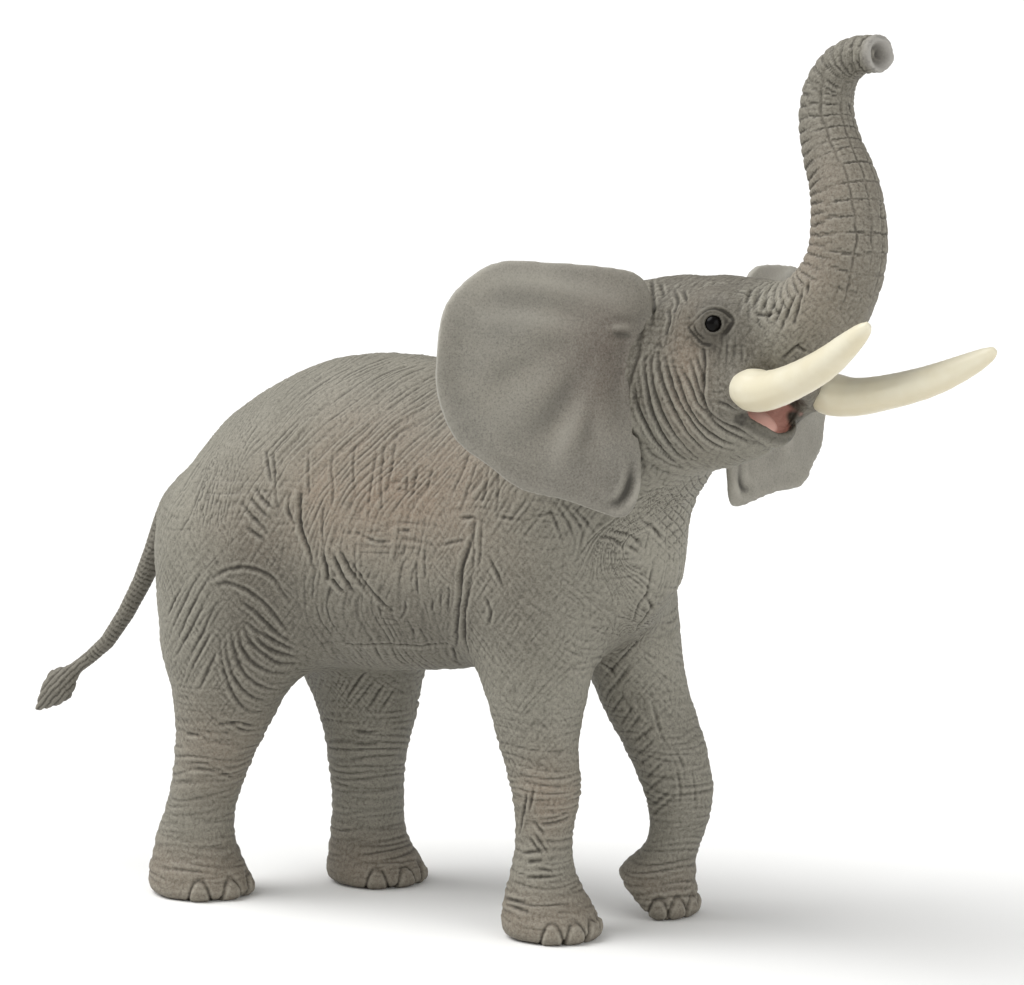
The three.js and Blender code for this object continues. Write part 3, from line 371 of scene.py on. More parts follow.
BODY_MIRROR = "body"
HEAD_MIRROR = "head"
FOLDS = (
    # width and depth in mm, which mirror, how far ahead the mirrored fold lies, and paths in the picture
    (0.4, 0.62, HEAD_MIRROR, 0, (  # cheek and neck
        ((634, 381), (635, 402), (643, 422), (657, 445), (674, 462)),
        ((644, 353), (645, 381), (652, 414), (664, 439), (683, 460)),
        ((650, 355), (652, 384), (660, 410), (674, 436), (696, 458)),
        ((657, 353), (660, 377), (669, 402), (683, 429), (707, 453)),
        ((664, 353), (669, 377), (676, 398), (690, 422), (714, 445), (731, 451)),
        ((672, 362), (679, 384), (686, 405), (698, 424), (721, 441), (738, 446)),
        ((681, 369), (690, 386), (696, 402), (707, 415), (724, 431), (746, 441)),
        ((690, 360), (696, 381), (702, 400), (710, 414), (727, 426), (752, 438)),
        ((696, 357), (702, 377), (703, 398), (705, 410)), ((703, 346), (704, 367), (703, 386)),
    )),
    (0.34, 0.5, HEAD_MIRROR, 0, (  # temple and forehead
        ((667, 309), (669, 319), (664, 336)), ((660, 281), (663, 295)),
        ((674, 290), (677, 302), (672, 315)), ((683, 290), (686, 302)),
        ((652, 279), (653, 302), (652, 322)), ((696, 290), (710, 284), (727, 284)),
        ((703, 286), (719, 281)), ((738, 291), (755, 295)),
    )),
    (0.28, 0.5, HEAD_MIRROR, 0, (  # lids
        ((689, 327), (697, 317), (706, 310), (714, 308), (724, 311), (731, 317), (733, 322), (728, 332),
         (721, 338)), ((688, 328), (695, 337), (703, 344), (711, 345)),
        ((693, 326), (696, 334), (703, 339)), ((731, 323), (727, 330), (721, 335)),
    )),
    (0.4, 0.5, HEAD_MIRROR, 0, (  # corner of the mouth
        ((717, 402), (727, 406), (738, 411)),
    )),
    (0.34, 0.45, HEAD_MIRROR, 0, (  # root of the trunk
        ((752, 288), (746, 303)), ((760, 291), (753, 309)), ((769, 294), (760, 314)),
        ((776, 298), (767, 319)), ((783, 300), (774, 324)), ((789, 303), (781, 329)),
        ((795, 293), (789, 307), (786, 324)), ((802, 290), (798, 305), (793, 326)),
        ((808, 281), (806, 295)), ((753, 312), (765, 315), (777, 312)),
        ((781, 360), (795, 348), (803, 343)), ((795, 346), (807, 352)),
    )),
    (0.48, 0.75, BODY_MIRROR, 0, (  # hollow before the hip, and the flank
        ((300, 487), (298, 508), (300, 530), (308, 552), (312, 569)),
        ((322, 552), (325, 569), (326, 583)), ((332, 554), (339, 572), (352, 593)),
        ((339, 550), (348, 569), (361, 587), (374, 602)),
        ((348, 559), (358, 576), (372, 594), (389, 611)), ((328, 578), (343, 594)),
    )),
    (0.38, 0.4, BODY_MIRROR, 0, (  # hip
        ((289, 493), (287, 511), (295, 526)), ((241, 502), (252, 517), (267, 532)),
        ((248, 495), (258, 508), (271, 520)), ((245, 526), (256, 535), (263, 539)),
        ((254, 487), (263, 500), (272, 508)), ((265, 448), (267, 467), (271, 485)),
        ((272, 450), (273, 471), (276, 506)),
    )),
    (0.32, 0.26, BODY_MIRROR, 0, (  # side of the belly
        ((308, 448), (307, 478), (308, 496)), ((332, 450), (330, 471), (332, 487), (331, 508)),
        ((322, 508), (321, 530), (323, 548)), ((354, 441), (352, 471), (354, 495)),
        ((376, 448), (372, 471), (369, 493), (366, 513)), ((385, 437), (380, 478), (382, 515)),
        ((396, 434), (390, 471), (383, 496)), ((417, 467), (411, 496)), ((432, 467), (426, 489)),
        ((407, 471), (405, 496)), ((356, 533), (374, 541), (389, 542)), ((396, 530), (411, 531)),
        ((407, 555), (401, 567), (398, 584)), ((416, 562), (416, 587), (419, 598)),
        ((424, 548), (424, 579)), ((405, 598), (404, 612), (398, 622)), ((432, 601), (431, 612)),
        ((440, 591), (440, 612)), ((449, 584), (447, 612)),
    )),
    (0.42, 0.35, BODY_MIRROR, 0, (  # under the belly's side
        ((339, 635), (346, 645), (363, 646), (384, 646), (407, 647), (426, 647), (454, 646)),
    )),
    (0.5, 0.65, BODY_MIRROR, 0, (  # behind the front leg
        ((473, 520), (470, 542), (461, 570), (459, 598), (456, 626), (456, 649)),
        ((470, 579), (466, 598), (463, 615), (464, 640), (471, 661)),
    )),
    (0.38, 0.4, BODY_MIRROR, 0, (  # beside it
        ((452, 646), (456, 661), (463, 670)), ((485, 598), (490, 612), (488, 626)),
        ((487, 553), (496, 573), (502, 590)), ((459, 518), (474, 517)),
    )),
    (0.42, 0.45, BODY_MIRROR, 22, (  # thigh
        ((209, 580), (226, 570), (248, 568), (271, 578), (289, 603)),
        ((211, 586), (226, 583), (245, 590), (263, 603), (280, 623), (289, 634)),
        ((237, 601), (252, 610), (265, 623), (280, 636), (297, 647)),
        ((243, 621), (258, 632), (276, 642), (297, 652)),
        ((254, 632), (263, 645), (278, 653), (297, 658)),
        ((243, 625), (250, 642), (265, 655), (280, 664), (300, 664)),
        ((237, 627), (241, 647), (252, 662), (271, 673), (290, 674)),
        ((230, 632), (235, 655), (245, 675), (263, 688), (278, 690)),
        ((224, 636), (227, 662), (237, 684), (254, 699), (268, 702)),
        ((219, 636), (222, 664), (230, 690), (245, 710), (262, 713)),
        ((215, 725), (237, 724), (252, 727), (258, 727)), ((230, 723), (243, 731), (254, 732)),
    )),
    (0.34, 0.34, BODY_MIRROR, 10, (  # back of the thigh
        ((211, 573), (193, 603), (176, 642)), ((209, 593), (191, 627), (174, 658)),
        ((215, 603), (202, 632), (185, 664)), ((211, 632), (200, 651), (191, 668)),
        ((217, 651), (206, 673), (198, 690)), ((200, 571), (183, 603), (170, 632)),
        ((180, 588), (167, 616)), ((183, 733), (204, 736)), ((193, 768), (211, 771), (232, 778)),
        ((204, 764), (222, 772), (234, 779)),
    )),
    (0.36, 0.36, None, 0, (  # inside of the left hind leg
        ((345, 699), (367, 673)), ((354, 707), (375, 681)), ((367, 710), (386, 684)),
        ((380, 712), (397, 688)), ((354, 731), (367, 733), (380, 731)), ((352, 744), (380, 744)),
    )),
    (0.34, 0.36, BODY_MIRROR, 6, (  # knee and ankle of the front leg
        ((541, 825), (555, 823), (571, 818), (578, 817)), ((534, 823), (544, 834)),
        ((528, 837), (543, 855)), ((534, 834), (548, 853)), ((541, 819), (557, 818), (569, 813)),
        ((526, 793), (523, 816)), ((534, 787), (528, 812)), ((523, 803), (518, 834)),
        ((523, 853), (541, 851)), ((526, 862), (543, 860)), ((537, 868), (553, 871)),
        ((525, 878), (555, 876)), ((503, 898), (530, 903)), ((504, 903), (530, 912)),
    )),
    (0.34, 0.22, None, 0, (  # inside of the left front leg
        ((604, 698), (614, 685)), ((611, 714), (623, 696)), ((620, 726), (632, 707)),
        ((625, 737), (641, 714)), ((634, 743), (653, 726)), ((634, 759), (655, 739)),
        ((638, 766), (657, 751)), ((645, 780), (666, 759)), ((645, 794), (666, 775)),
        ((650, 809), (673, 787)), ((652, 816), (675, 796)), ((651, 694), (660, 730), (669, 748)),
        ((675, 748), (684, 766), (685, 780)), ((675, 760), (680, 784), (680, 805)),
        ((693, 769), (696, 791), (696, 810)),
    )),
    (0.6, 0.35, HEAD_MIRROR, 0, (  # where the ear meets the temple and the neck
        ((641, 280), (640, 314), (641, 331), (635, 362), (628, 384), (622, 402)),
        ((622, 410), (628, 429), (636, 445), (642, 462), (645, 479)),
    )),
    (0.38, 0.32, None, 0, (  # chest, and between the front legs
        ((655, 560), (650, 585), (644, 608)), ((648, 600), (655, 612)),
        ((636, 630), (648, 616), (655, 604)), ((630, 637), (641, 628)),
        ((634, 622), (640, 606), (652, 590)), ((596, 658), (612, 655), (630, 648)),
        ((600, 664), (618, 678)), ((604, 678), (622, 660), (640, 641)), ((612, 690), (632, 664)),
        ((625, 545), (640, 552)), ((598, 536), (616, 541), (628, 553)),
        ((605, 530), (630, 536), (644, 545)), ((640, 520), (655, 530), (668, 545)),
    )),
    (0.34, 0.26, BODY_MIRROR, 0, (  # under the ear
        ((554, 504), (566, 520), (574, 538)), ((562, 503), (576, 520), (584, 536)),
        ((571, 506), (586, 522), (596, 536)), ((548, 508), (556, 524), (562, 540)),
        ((470, 447), (462, 470), (448, 500)), ((478, 455), (470, 480), (460, 508)),
        ((488, 463), (484, 490), (478, 514)), ((497, 470), (497, 492), (495, 514)),
        ((474, 517), (473, 548), (472, 575)), ((481, 518), (480, 545), (478, 570)),
        ((463, 540), (440, 545)), ((496, 516), (520, 520)), ((533, 517), (552, 513)),
    )),
)


def other_side(points, mirror, shift):
    """Points taken to the other side of the body or of the head."""
    if mirror == HEAD_MIRROR:
        turned = in_head(points) * (1, -1, 1)
        return HEAD_POINT + turned @ HEAD_AXES
    return points * (1, -1, 1) + (shift, 2 * MIDDLE_Y, 0)


def path_over(tree, pixels):
    """A smooth path through the points of a surface that the picture shows at some places."""
    hits = [seen(tree, *pixel) for pixel in pixels]
    return smooth_path([hit for hit in hits if hit is not None], PATH_SPACING)


def drawn_folds(points, tree):
    """How far all the drawn folds sink each point, on both sides."""
    sunk = np.zeros(len(points))
    for width, depth, mirror, shift, paths in FOLDS:
        for pixels in paths:
            path = settled(tree, path_over(tree, pixels))
            sunk += groove(points, path, width, depth)
            if mirror:
                sunk += groove(points, settled(tree, other_side(path, mirror, shift)), width, depth)
    return sunk


# The hide, as one skin before it is parted

LIP_SIDE = ((0, -7.8, 0), (3, -7.4, 0.6), (5.7, -6.3, 1.0), (8.2, -4.2, 0.8), (9.3, -1.6, 0.2))
LIP = smooth_path((*LIP_SIDE, *((x, -y, z) for x, y, z in reversed(LIP_SIDE))), 0.6)
LIP_LAYERS = 3  # of balls, one below the other
LIP_RADIUS = 0.95
LIP_DROP = 0.5
LIP_TAPER = 0.06  # of the width, for each layer down
ROUGH_PASSES, FINE_PASSES = 60, 8  # of smoothing, on the rough skin and on the fine one
FACE_KEPT, FEET_KEPT = 0.65, 0.28  # share of the rough smoothing that is left out there


def gaps_to(points, others):
    """How far each point is from the nearest of some others."""
    found = KDTree(len(others))
    for index, other in enumerate(others):
        found.insert(other, index)
    found.balance()
    return np.array([found.find(point)[2] for point in points])


ROOT_GROWTH, LID_GROWTH = 0.4, 0.3

fused = bmesh.new()
for node in SKIN_NODES:
    fused.from_mesh(mesh_of(cad_copy(node, SEAM_GROWTH), node + "_copy"))
for side, seat in TUSK_SEATS.items():
    tusk_root = keep_side(cad_copy(side + "_tusk", ROOT_GROWTH), seat, HEAD_AXES[0])
    fused.from_mesh(mesh_of(tusk_root, side + "_root"))
    fused.from_mesh(mesh_of(cad_copy(side + "_eye", LID_GROWTH), side + "_lid"))
fused.from_mesh(mesh_of(cad_copy("tongue", ROOT_GROWTH), "tongue_bed"))
skin = revoxelled(mesh_of(fused, "skin"), ROUGH_CELL)

ends = joined(skin)
shape = places(skin)
face_kept = FACE_KEPT * step(20, 36, in_head(shape)[:, 0])
feet_kept = FEET_KEPT * step(14, 8, shape[:, 2])
pull = 0.5 * (1 - face_kept - feet_kept)[:, None]
soft = relaxed(shape, ends, ROUGH_PASSES, pull)
soft = soft + relaxed(shape - soft, ends, ROUGH_PASSES, pull)
put(skin, soft)
shape = soft - SEAM_GROWTH * normals(skin)
put(skin, shape)
hollow = link(mesh_of(mouth_ball(*MOUTH_HOLLOW), "mouth_hollow"), "mouth_hollow")
skin = baked(skin, "BOOLEAN", operation="DIFFERENCE", object=hollow, solver="EXACT")
bpy.data.objects.remove(hollow)
whole = bmesh.new()
whole.from_mesh(skin)
for layer in range(LIP_LAYERS):
    for x, y, z in LIP:
        place = (x, y * (1 - LIP_TAPER * layer), z - LIP_DROP - layer)
        whole.from_mesh(mesh_of(mouth_ball(place, (LIP_RADIUS,) * 3, 6), "lip"))
skin = revoxelled(mesh_of(whole, "skin"), SKIN_CELL)
ends = joined(skin)
shape = places(skin)
soft = relaxed(shape, ends, FINE_PASSES)
shape = soft + relaxed(shape - soft, ends, FINE_PASSES)
shape[:, 2] = np.maximum(shape[:, 2], 0)
put(skin, shape)


def leg_planes(leg):
    side, ahead = leg["side"], leg["ahead"]
    return (
        ((0, leg["seam_y"], leg["seam"]), (0, side * math.sin(LEG_SEAM_SLOPE), -math.cos(LEG_SEAM_SLOPE))),
        ((leg["fold"], 0, 0), (ahead, 0, 0)),
        ((0, MIDDLE_Y, 0), (0, side, 0)),
    )


TORSO_CUTS = (-34.0, 8.0)  # three pieces, so that none has too many faces
PARTS = {
    "torso": (),
    "torso_middle": (((TORSO_CUTS[0], 0, 0), (1, 0, 0)),),
    "torso_front": (((TORSO_CUTS[1], 0, 0), (1, 0, 0)),),
    "head": (NECK_SEAM,),
    "lower_jaw": (JAW_SEAM, JAW_HINGE),
    "trunk": (TRUNK_SEAM,),
    **{name: leg_planes(leg) for name, leg in LEGS.items()},
}
CUT_MARGIN = 2.5  # how far past a part's other seams each seam is cut

cut = bmesh.new()
cut.from_mesh(skin)
for planes in PARTS.values():
    for plane in planes:
        others = [other for other in planes if other is not plane]
        middles = np.array([face.calc_center_median() for face in cut.faces]) / MM
        faces = cut.faces[:]
        chosen = [faces[i] for i in np.flatnonzero(inside(middles, others, CUT_MARGIN))]
        edges = list({edge for face in chosen for edge in face.edges})
        verts = list({vertex for face in chosen for vertex in face.verts})
        bmesh.ops.bisect_plane(
            cut, geom=verts + edges + chosen, plane_co=Vector(plane[0]) * MM, plane_no=plane[1], dist=WELD,
        )
cut.to_mesh(skin)
cut.free()
middles = np.empty(len(skin.polygons) * 3, np.float32)
skin.polygons.foreach_get("center", middles)
middles = middles.reshape(-1, 3) / MM
part_of = np.zeros(len(middles), np.int32)
for index, planes in enumerate(PARTS.values()):
    if planes:
        part_of[inside(middles, planes)] = index
skin.attributes.new("part", "INT", "FACE").data.foreach_set("value", part_of)
skin = baked(skin, "SUBSURF", levels=1, render_levels=1)


# Relief on the skin: drawn folds, then the finer ones between them

def over_normals(mesh, ends, passes):
    """A mesh's normals, evened out between neighbours."""
    flow = relaxed(normals(mesh), ends, passes)
    return flow / np.linalg.norm(flow, axis=1)[:, None]


def along(line, points):
    """For each point: how far along a curve its nearest point is, how far off that is, and its index."""
    best = np.full(len(points), np.inf)
    index = np.zeros(len(points), int)
    for number, place in enumerate(line):
        gap = ((points - place) ** 2).sum(1)
        closer = gap < best
        best[closer] = gap[closer]
        index[closer] = number
    travelled = np.concatenate(([0], np.cumsum(np.linalg.norm(np.diff(line, axis=0), axis=1))))
    return travelled[index], np.sqrt(best), index


def ringed(distance, spacing, thin):
    """1 at lines the spacing apart and 0 between them."""
    return np.exp(-((np.sin(np.pi * distance / spacing) / thin) ** 2))


def creased_at(outwards, way):
    """1 along the line of a trunk that faces one way, 0 elsewhere."""
    return np.exp(-((1 - outwards @ way) / 0.006) ** 2)


ends = joined(skin)
shape = places(skin)
tree = tree_of(skin)
way = over_normals(skin, ends, 3)
x, y, z = shape.T
head = in_head(shape)
on_head = step(-6, 8, (shape - NECK_SEAM[0]) @ NECK_SEAM[1])
on_trunk = step(-7, 1, (shape - TRUNK_SEAM[0]) @ TRUNK_SEAM[1]) * on_head
on_leg = np.zeros(len(shape))
for leg in LEGS.values():
    slope, fold, middle = ((shape - p) @ w for p, w in leg_planes(leg))
    on_leg = np.maximum(on_leg, step(-8, 4, slope) * step(-4, 2, fold) * step(-2, 2, middle))
on_body = (1 - on_head) * (1 - on_leg)

sunk = drawn_folds(shape, tree)


def patch(size, seed, least=0.0):
    """Patches that come and go smoothly over the hide, from the least strength to 1."""
    return least + (1 - least) * step(-0.35, 0.35, noise(shape / size, seed))


# The body. Each line has a depth, then how far apart creases lie and how long they run along each axis, all
# in millimetres, then the noise's seed, how thin the creases are, and the patches in which they come and go.
# The finest real ones are drawn wider than they are, so that the mesh can hold them. Each step names the
# places, in millimetres too, between which a kind of crease sets in.
warp = noise(shape / 11, 1)
flank = x - 0.0133 * np.maximum(z - 60, 0) ** 2 + 1.6 * warp
rump = x - 0.5 * z + 1.6 * warp
hind = step(-42, -54, x)
across = flank * (1 - hind) + rump * hind
fronting = step(0.6, 0.85, np.abs(over_normals(skin, ends, 40)[:, 0]))
across += fronting * (y - across)
folds = (
    0.22 * creases((across / 1.7, y / 14, z / 18), 2, 0.3) * patch(9, 20, 0.45)
    + 0.20 * creases((across / 1.4, y / 12, z / 15), 3, 0.36) * patch(6, 21, 0.35)
    + 0.16 * creases((x / 16, y / 18, (z + 1.5 * warp) / 1.9), 4, 0.25) * patch(8, 22) * step(96, 84, z)
    + 0.12 * creases(((x - 0.7 * z) / 1.5, y / 9, (z + 0.7 * x) / 13), 15, 0.34) * patch(6, 23, 0.4)
)
on_back = step(112, 122, z + 0.1 * x)
sunk += on_body * (1 - 0.5 * on_back) * folds

# The cheeks, whose creases turn round the corner of the mouth, and the throat's diamonds
past_corner, over_corner = head[:, 0] - (MOUTH_CORNER[0] + 2), head[:, 2] - MOUTH_CORNER[2]
neck_turn = np.hypot(past_corner, over_corner)
neck_angle = np.arctan2(over_corner, past_corner)
face = step(24, 34, head[:, 0])
cheek = (
    0.26 * creases((neck_turn / 1.7, head[:, 1] / 16, neck_angle * 1.5), 5, 0.3) * (1 - 0.8 * face)
    + 0.18 * creases((head[:, 0] / 1.4, head[:, 1] / 6, head[:, 2] / 7), 6, 0.36) * patch(5, 24)
    + 0.14 * creases((head[:, 0] / 6, head[:, 1] / 5, head[:, 2] / 1.4), 16, 0.36) * patch(5, 25)
)
near_eye = np.maximum(*[near(shape, middle, (5, 5, 4)) for middle in EYES.values()])
sunk += on_head * (1 - on_trunk) * cheek * (1 - near_eye)

throat = seen(tree, *THROAT_SEEN)
throats = throat, other_side(throat, BODY_MIRROR, 0)
at_throat = sum(near(shape, middle, (9, 7, 10)) for middle in throats)
right_of, above = shape @ RIGHTWARD, shape @ UPWARD
rising, falling = right_of + above, right_of - above
diamonds = np.maximum(ringed(rising + warp, 2.2, 0.35), ringed(falling + warp, 2.2, 0.35))
sunk += 0.22 * diamonds * np.clip(at_throat, 0, 1) * (1 - on_trunk)

# The legs: rings that gather at the knee and the ankle, and a lattice above
KNEE, ANKLE = (27, 9), (8, 6)  # a height and a reach
knee = np.clip(sum(np.exp(-(((z - height) / reach) ** 2)) for height, reach in (KNEE, ANKLE)), 0, 1)
rings = (
    creases((x / 13, y / 13, (z + 1.0 * warp) / 1.5), 7, 0.34) * (0.10 + 0.2 * knee)
    + 0.10 * creases((x / 9, y / 9, (z - warp) / 1.3), 17, 0.38) * patch(6, 26, 0.4)
)
lattice = (
    creases(((x + 0.8 * z) / 1.4, y / 6, (z - 0.8 * x) / 10), 9, 0.36) * patch(6, 27, 0.4)
    + creases(((x - 0.8 * z) / 1.4, y / 6, (z + 0.8 * x) / 10), 10, 0.36) * patch(6, 28, 0.4)
)
leg_folds = rings * step(52, 40, z) + 0.15 * lattice * step(24, 40, z)
sunk += on_leg * (1 - on_trunk) * leg_folds * step(0.5, 4, z)

# The trunk: girdles round its back, squares on its front, ridges along the line between them
GIRDLE_SPACING, SQUARE_SPACING, SQUARE_WIDTH = 2.06, 2.8, 3.0
SMALL_SQUARES_FROM = 68  # along the trunk, where the squares grow small
trunk_line = smooth_path(TRUNK_LINE, 0.4)
travelled, off, index = along(trunk_line, shape)
tangent = np.gradient(trunk_line, axis=0)
tangent /= np.linalg.norm(tangent, axis=1)[:, None]
from_line = shape - trunk_line[index]
outwards = from_line / np.maximum(off, 0.1)[:, None]
dorsal_way = np.cross(tangent, HEAD_AXES[1])
dorsal = (from_line * dorsal_way[index]).sum(1) / np.maximum(off, 0.1)
sideways = (from_line * HEAD_AXES[1]).sum(1)
wobble = 0.3 * noise(shape / 3, 11)
ringing, striping = travelled + wobble, sideways + wobble
girdles = ringed(ringing, GIRDLE_SPACING, 0.5) * (0.6 + 0.4 * patch(4, 33))
squares = np.maximum(ringed(ringing, SQUARE_SPACING, 0.28), ringed(striping + 1.5, SQUARE_WIDTH, 0.26))
small = np.maximum(ringed(ringing, 1.9, 0.42), 0.7 * squares)
squares = np.where(travelled > SMALL_SQUARES_FROM, small, squares)
netting = np.maximum(ringed(ringing, 1.4, 0.55), ringed(striping, 1.5, 0.55))
back_of = step(-0.3, 0.35, dorsal)
front_of = step(0.2, -0.15, dorsal)
at_root = step(36, 26, travelled)
lengthwise = math.cos(AZIMUTH) * RIGHTWARD + math.sin(AZIMUTH) * BACKWARD
ridges = 0.35 * creased_at(outwards, lengthwise) + 0.15 * creased_at(outwards, mirrored(lengthwise))
sunk += on_trunk * (
    0.46 * girdles * back_of + ridges * (1 - at_root) * step(95, 88, travelled)
    + front_of * (0.28 * squares * (0.3 + 0.7 * patch(5, 29)) * (1 - at_root) + 0.1 * netting * patch(5, 30))
    + at_root * 0.12 * np.maximum(
        creases((rising / 2.2, falling / 9, y / 9), 31, 0.24),
        creases((falling / 2.2, rising / 9, y / 9), 32, 0.24),
    )
)

# Fine wrinkles all over
sunk += 0.09 * creases(shape.T / 1.6, 13, 0.32)

# The nails: half ovals round the front of each foot, each with a groove round it
NAIL_SPREAD = 59  # degrees to each side of straight ahead
NAIL_HALF_WIDTH, NAIL_HEIGHT = 2.0, 4.2
NAIL_GROOVE, NAIL_RISE = 0.38, 0.35
for leg in LEGS.values():
    for angle in np.radians(np.linspace(-NAIL_SPREAD, NAIL_SPREAD, leg["nails"])):
        out = np.array((math.cos(angle), math.sin(angle)))
        flat = shape[:, :2] - (np.array(leg["foot"]) + out * leg["half"])
        aside = flat @ np.array((-out[1], out[0]))
        edge = np.hypot(aside / NAIL_HALF_WIDTH, np.maximum(z, 0) / NAIL_HEIGHT)
        close = np.exp(-((flat @ out) / 4) ** 4) * (z < 8)
        grooved = NAIL_GROOVE * np.exp(-(((edge - 1.1) / 0.16) ** 2))
        sunk += close * (grooved - NAIL_RISE * step(1.1, 0.8, edge))

# The lids: a collar round each eye, hollow where the bead looks out, and facing the way that the eye looks
LID_HEIGHT, LID_ROLL, LID_HOLLOW = 1.2, 0.2, 1.9
LID_DEPTH = 5  # how far before and behind the eye's middle the hide still belongs to them
sight_ways = (BACKWARD, RIGHTWARD, UPWARD)
eye_ways = {"right": sight_ways, "left": tuple(mirrored(w) for w in sight_ways)}
finished = shape.copy()
for side, (outward, aside, up) in eye_ways.items():
    from_eye = finished - np.array(EYES[side])
    out = from_eye @ outward
    off = np.hypot(from_eye @ aside, from_eye @ up)
    lid = LID_HEIGHT + LID_ROLL * np.exp(-(((off - 1.8) / 0.3) ** 2)) - LID_HOLLOW * step(1.5, 1.2, off)
    lid -= 0.1 * np.maximum(off - 2.2, 0)
    close = step(4.6, 2.4, off) * (np.abs(out) < LID_DEPTH)
    finished += (close * (lid - out))[:, None] * outward
    sunk *= 1 - step(2.1, 1.8, off) * (np.abs(out) < LID_DEPTH)

# The trunk's tip: one opening with two pits, and a rolled rim
TIP_DEPTH = 2.6
TIP_RADIUS = 2.3
NOSTRILS = (-1.1, 1.1)
NOSTRIL_DEPTH = 1.0
RIM_HEIGHT = 0.4
tip, tip_way = trunk_line[-1], tangent[-1]
ahead = (shape - tip) @ tip_way
out_from = shape - tip - ahead[:, None] * tip_way
from_tip = np.linalg.norm(out_from, axis=1)
aside = out_from @ HEAD_AXES[1]
at_tip = step(-2, 0.5, ahead)
open_tip = np.exp(-((from_tip / TIP_RADIUS) ** 4)) * at_tip
for nostril in NOSTRILS:
    pit = np.exp(-(((aside - nostril) / 0.6) ** 2) - ((from_tip**2 - aside**2) / 0.5))
    sunk += NOSTRIL_DEPTH * pit * at_tip
rolled = np.exp(-(((ahead + 0.9) / 0.9) ** 2)) * step(2.4, 3, from_tip) * step(6, 5, from_tip)
sunk -= RIM_HEIGHT * rolled

finished -= sunk[:, None] * way + (TIP_DEPTH * open_tip)[:, None] * tip_way
finished[:, 2] = np.where(shape[:, 2] < 0.05, 0, np.maximum(finished[:, 2], 0))
put(skin, finished)


# Where the paints, the painted shade and the painted light lie on the skin

FINE_HOLLOW, WIDE_HOLLOW = 0.07, 0.45  # how deep a hollow is that holds all the wash and painted shade it can


def paint_marks(mesh, ends, points, wash_and_shade_share=0, painted_light=0):
    """Where the wash and painted shade settle and where dry paint and painted highlights catch, from how the
    surface curves and faces.
    """
    way = normals(mesh)
    fine = ((points - relaxed(points, ends, 3)) * way).sum(1)
    wide = ((points - relaxed(points, ends, 40)) * way).sum(1)
    # painted shade on the surfaces that face down
    under = 0.3 * step(0.1, -0.7, way[:, 2])
    # dark wash in the hollows, partly the paint's own wash and partly painted shade
    hollows_washed_and_shaded = 0.75 * np.clip(-fine / FINE_HOLLOW, 0, 1) + 0.5 * np.clip(-wide / WIDE_HOLLOW, 0, 1)
    store(mesh, "wash_and_painted_shade", hollows_washed_and_shaded + under + wash_and_shade_share)
    # lighter on the ridges, dry paint with painted highlights, plus painted light where given
    store(mesh, "drybrush_and_painted_light", np.clip(fine / FINE_HOLLOW, 0, 1) + painted_light)


def spots(table):
    """The sum of soft spots: each has a middle, a reach and a strength."""
    return sum(strength * near(shape, middle, reach) for middle, reach, strength in table)


RUDDY = (
    # a middle, a reach and a strength; flank and shoulder
    ((-18, -26, 86), (17, 34, 15), 0.85), ((4, -26, 88), (16, 34, 15), 0.7),
    ((-44, -26, 80), (10, 30, 11), 0.2),
    # cheek and trunk
    ((56, -20, 110), (5, 9, 12), 0.7), ((82, -14, 134), (8, 12, 18), 0.8),
    # front and hind leg
    ((24, -20, 28), (7, 10, 8), 0.8), ((-50, -22, 30), (9, 12, 12), 0.5),
)
DARKER_SEEN = (
    # a place in the picture, its reach and how much darker it is: painted shade in the hollows of the hip,
    # thigh, shoulder and belly, behind the front leg and under the ear
    ((255, 560), (9, 12, 12), 0.85), ((250, 650), (12, 12, 12), 0.9), ((515, 600), (8, 12, 14), 0.65),
    ((445, 505), (10, 12, 10), 0.45), ((400, 615), (16, 14, 7), 0.6), ((458, 600), (5, 12, 12), 0.4),
)
chin, snout = seen(tree, *CHIN_SEEN), seen(tree, *SNOUT_SEEN)
# Painted shade below the eye by the snout, at the chest under the neck and low on the flank, and at the
# places above on both sides
darker = [(snout, (8, 7, 6), 0.35), ((36, -20, 78), (14, 14, 18), 0.2), ((-30, -22, 72), (9, 14, 12), 0.2)]
for pixel, reach, strength in DARKER_SEEN:
    place = seen(tree, *pixel)
    darker += [(place, reach, strength), (other_side(place, BODY_MIRROR, 0), reach, strength)]
# A deeper tone over the head, the trunk past its root and the legs, most at the feet; painted shade round the
# eyes, low on the body and at the spots above
dim = (
    spots(darker) + 0.8 * near_eye
    + 0.95 * on_head * (1 - on_trunk) * step(97, 106, z) + 0.7 * on_trunk * step(24, 34, travelled)
    + 0.35 * on_body * step(70, 52, z)
    + on_leg * (0.35 * step(0, 20, z) + 0.6 * step(16, 6, z) - 0.3 * step(35, 50, z))
)

mouth = in_mouth(finished)
mouth_corner = HEAD_POINT + MOUTH_CORNER @ HEAD_AXES
hollow_point = HEAD_POINT + (MOUTH_CORNER + np.array(MOUTH_HOLLOW[0]) @ MOUTH_AXES) @ HEAD_AXES
off_lip = np.full(len(shape), 9.0)  # far from the lips, unless measured
chosen = np.flatnonzero(near(shape, mouth_corner, (16, 16, 16)) > 0.05)
off_lip[chosen] = gaps_to(mouth[chosen], LIP)
# painted light on the throat, on both sides, and on the chin
throat_and_chin_lit = spots([(middle, (15, 14, 19), 1) for middle in throats] + [(chin, (9, 9, 7), 0.6)])
# painted shade below the snout and along the lip's rolled edge; round the eyes partly brown paint and partly
# painted shade in the lids
wash_and_shade_share = 0.8 * near_eye + 0.18 * near(shape, snout, (8, 7, 6)) + 0.7 * step(2.4, 1.3, off_lip)
paint_marks(skin, ends, finished, wash_and_shade_share, 0.6 * np.clip(throat_and_chin_lit, 0, 1))

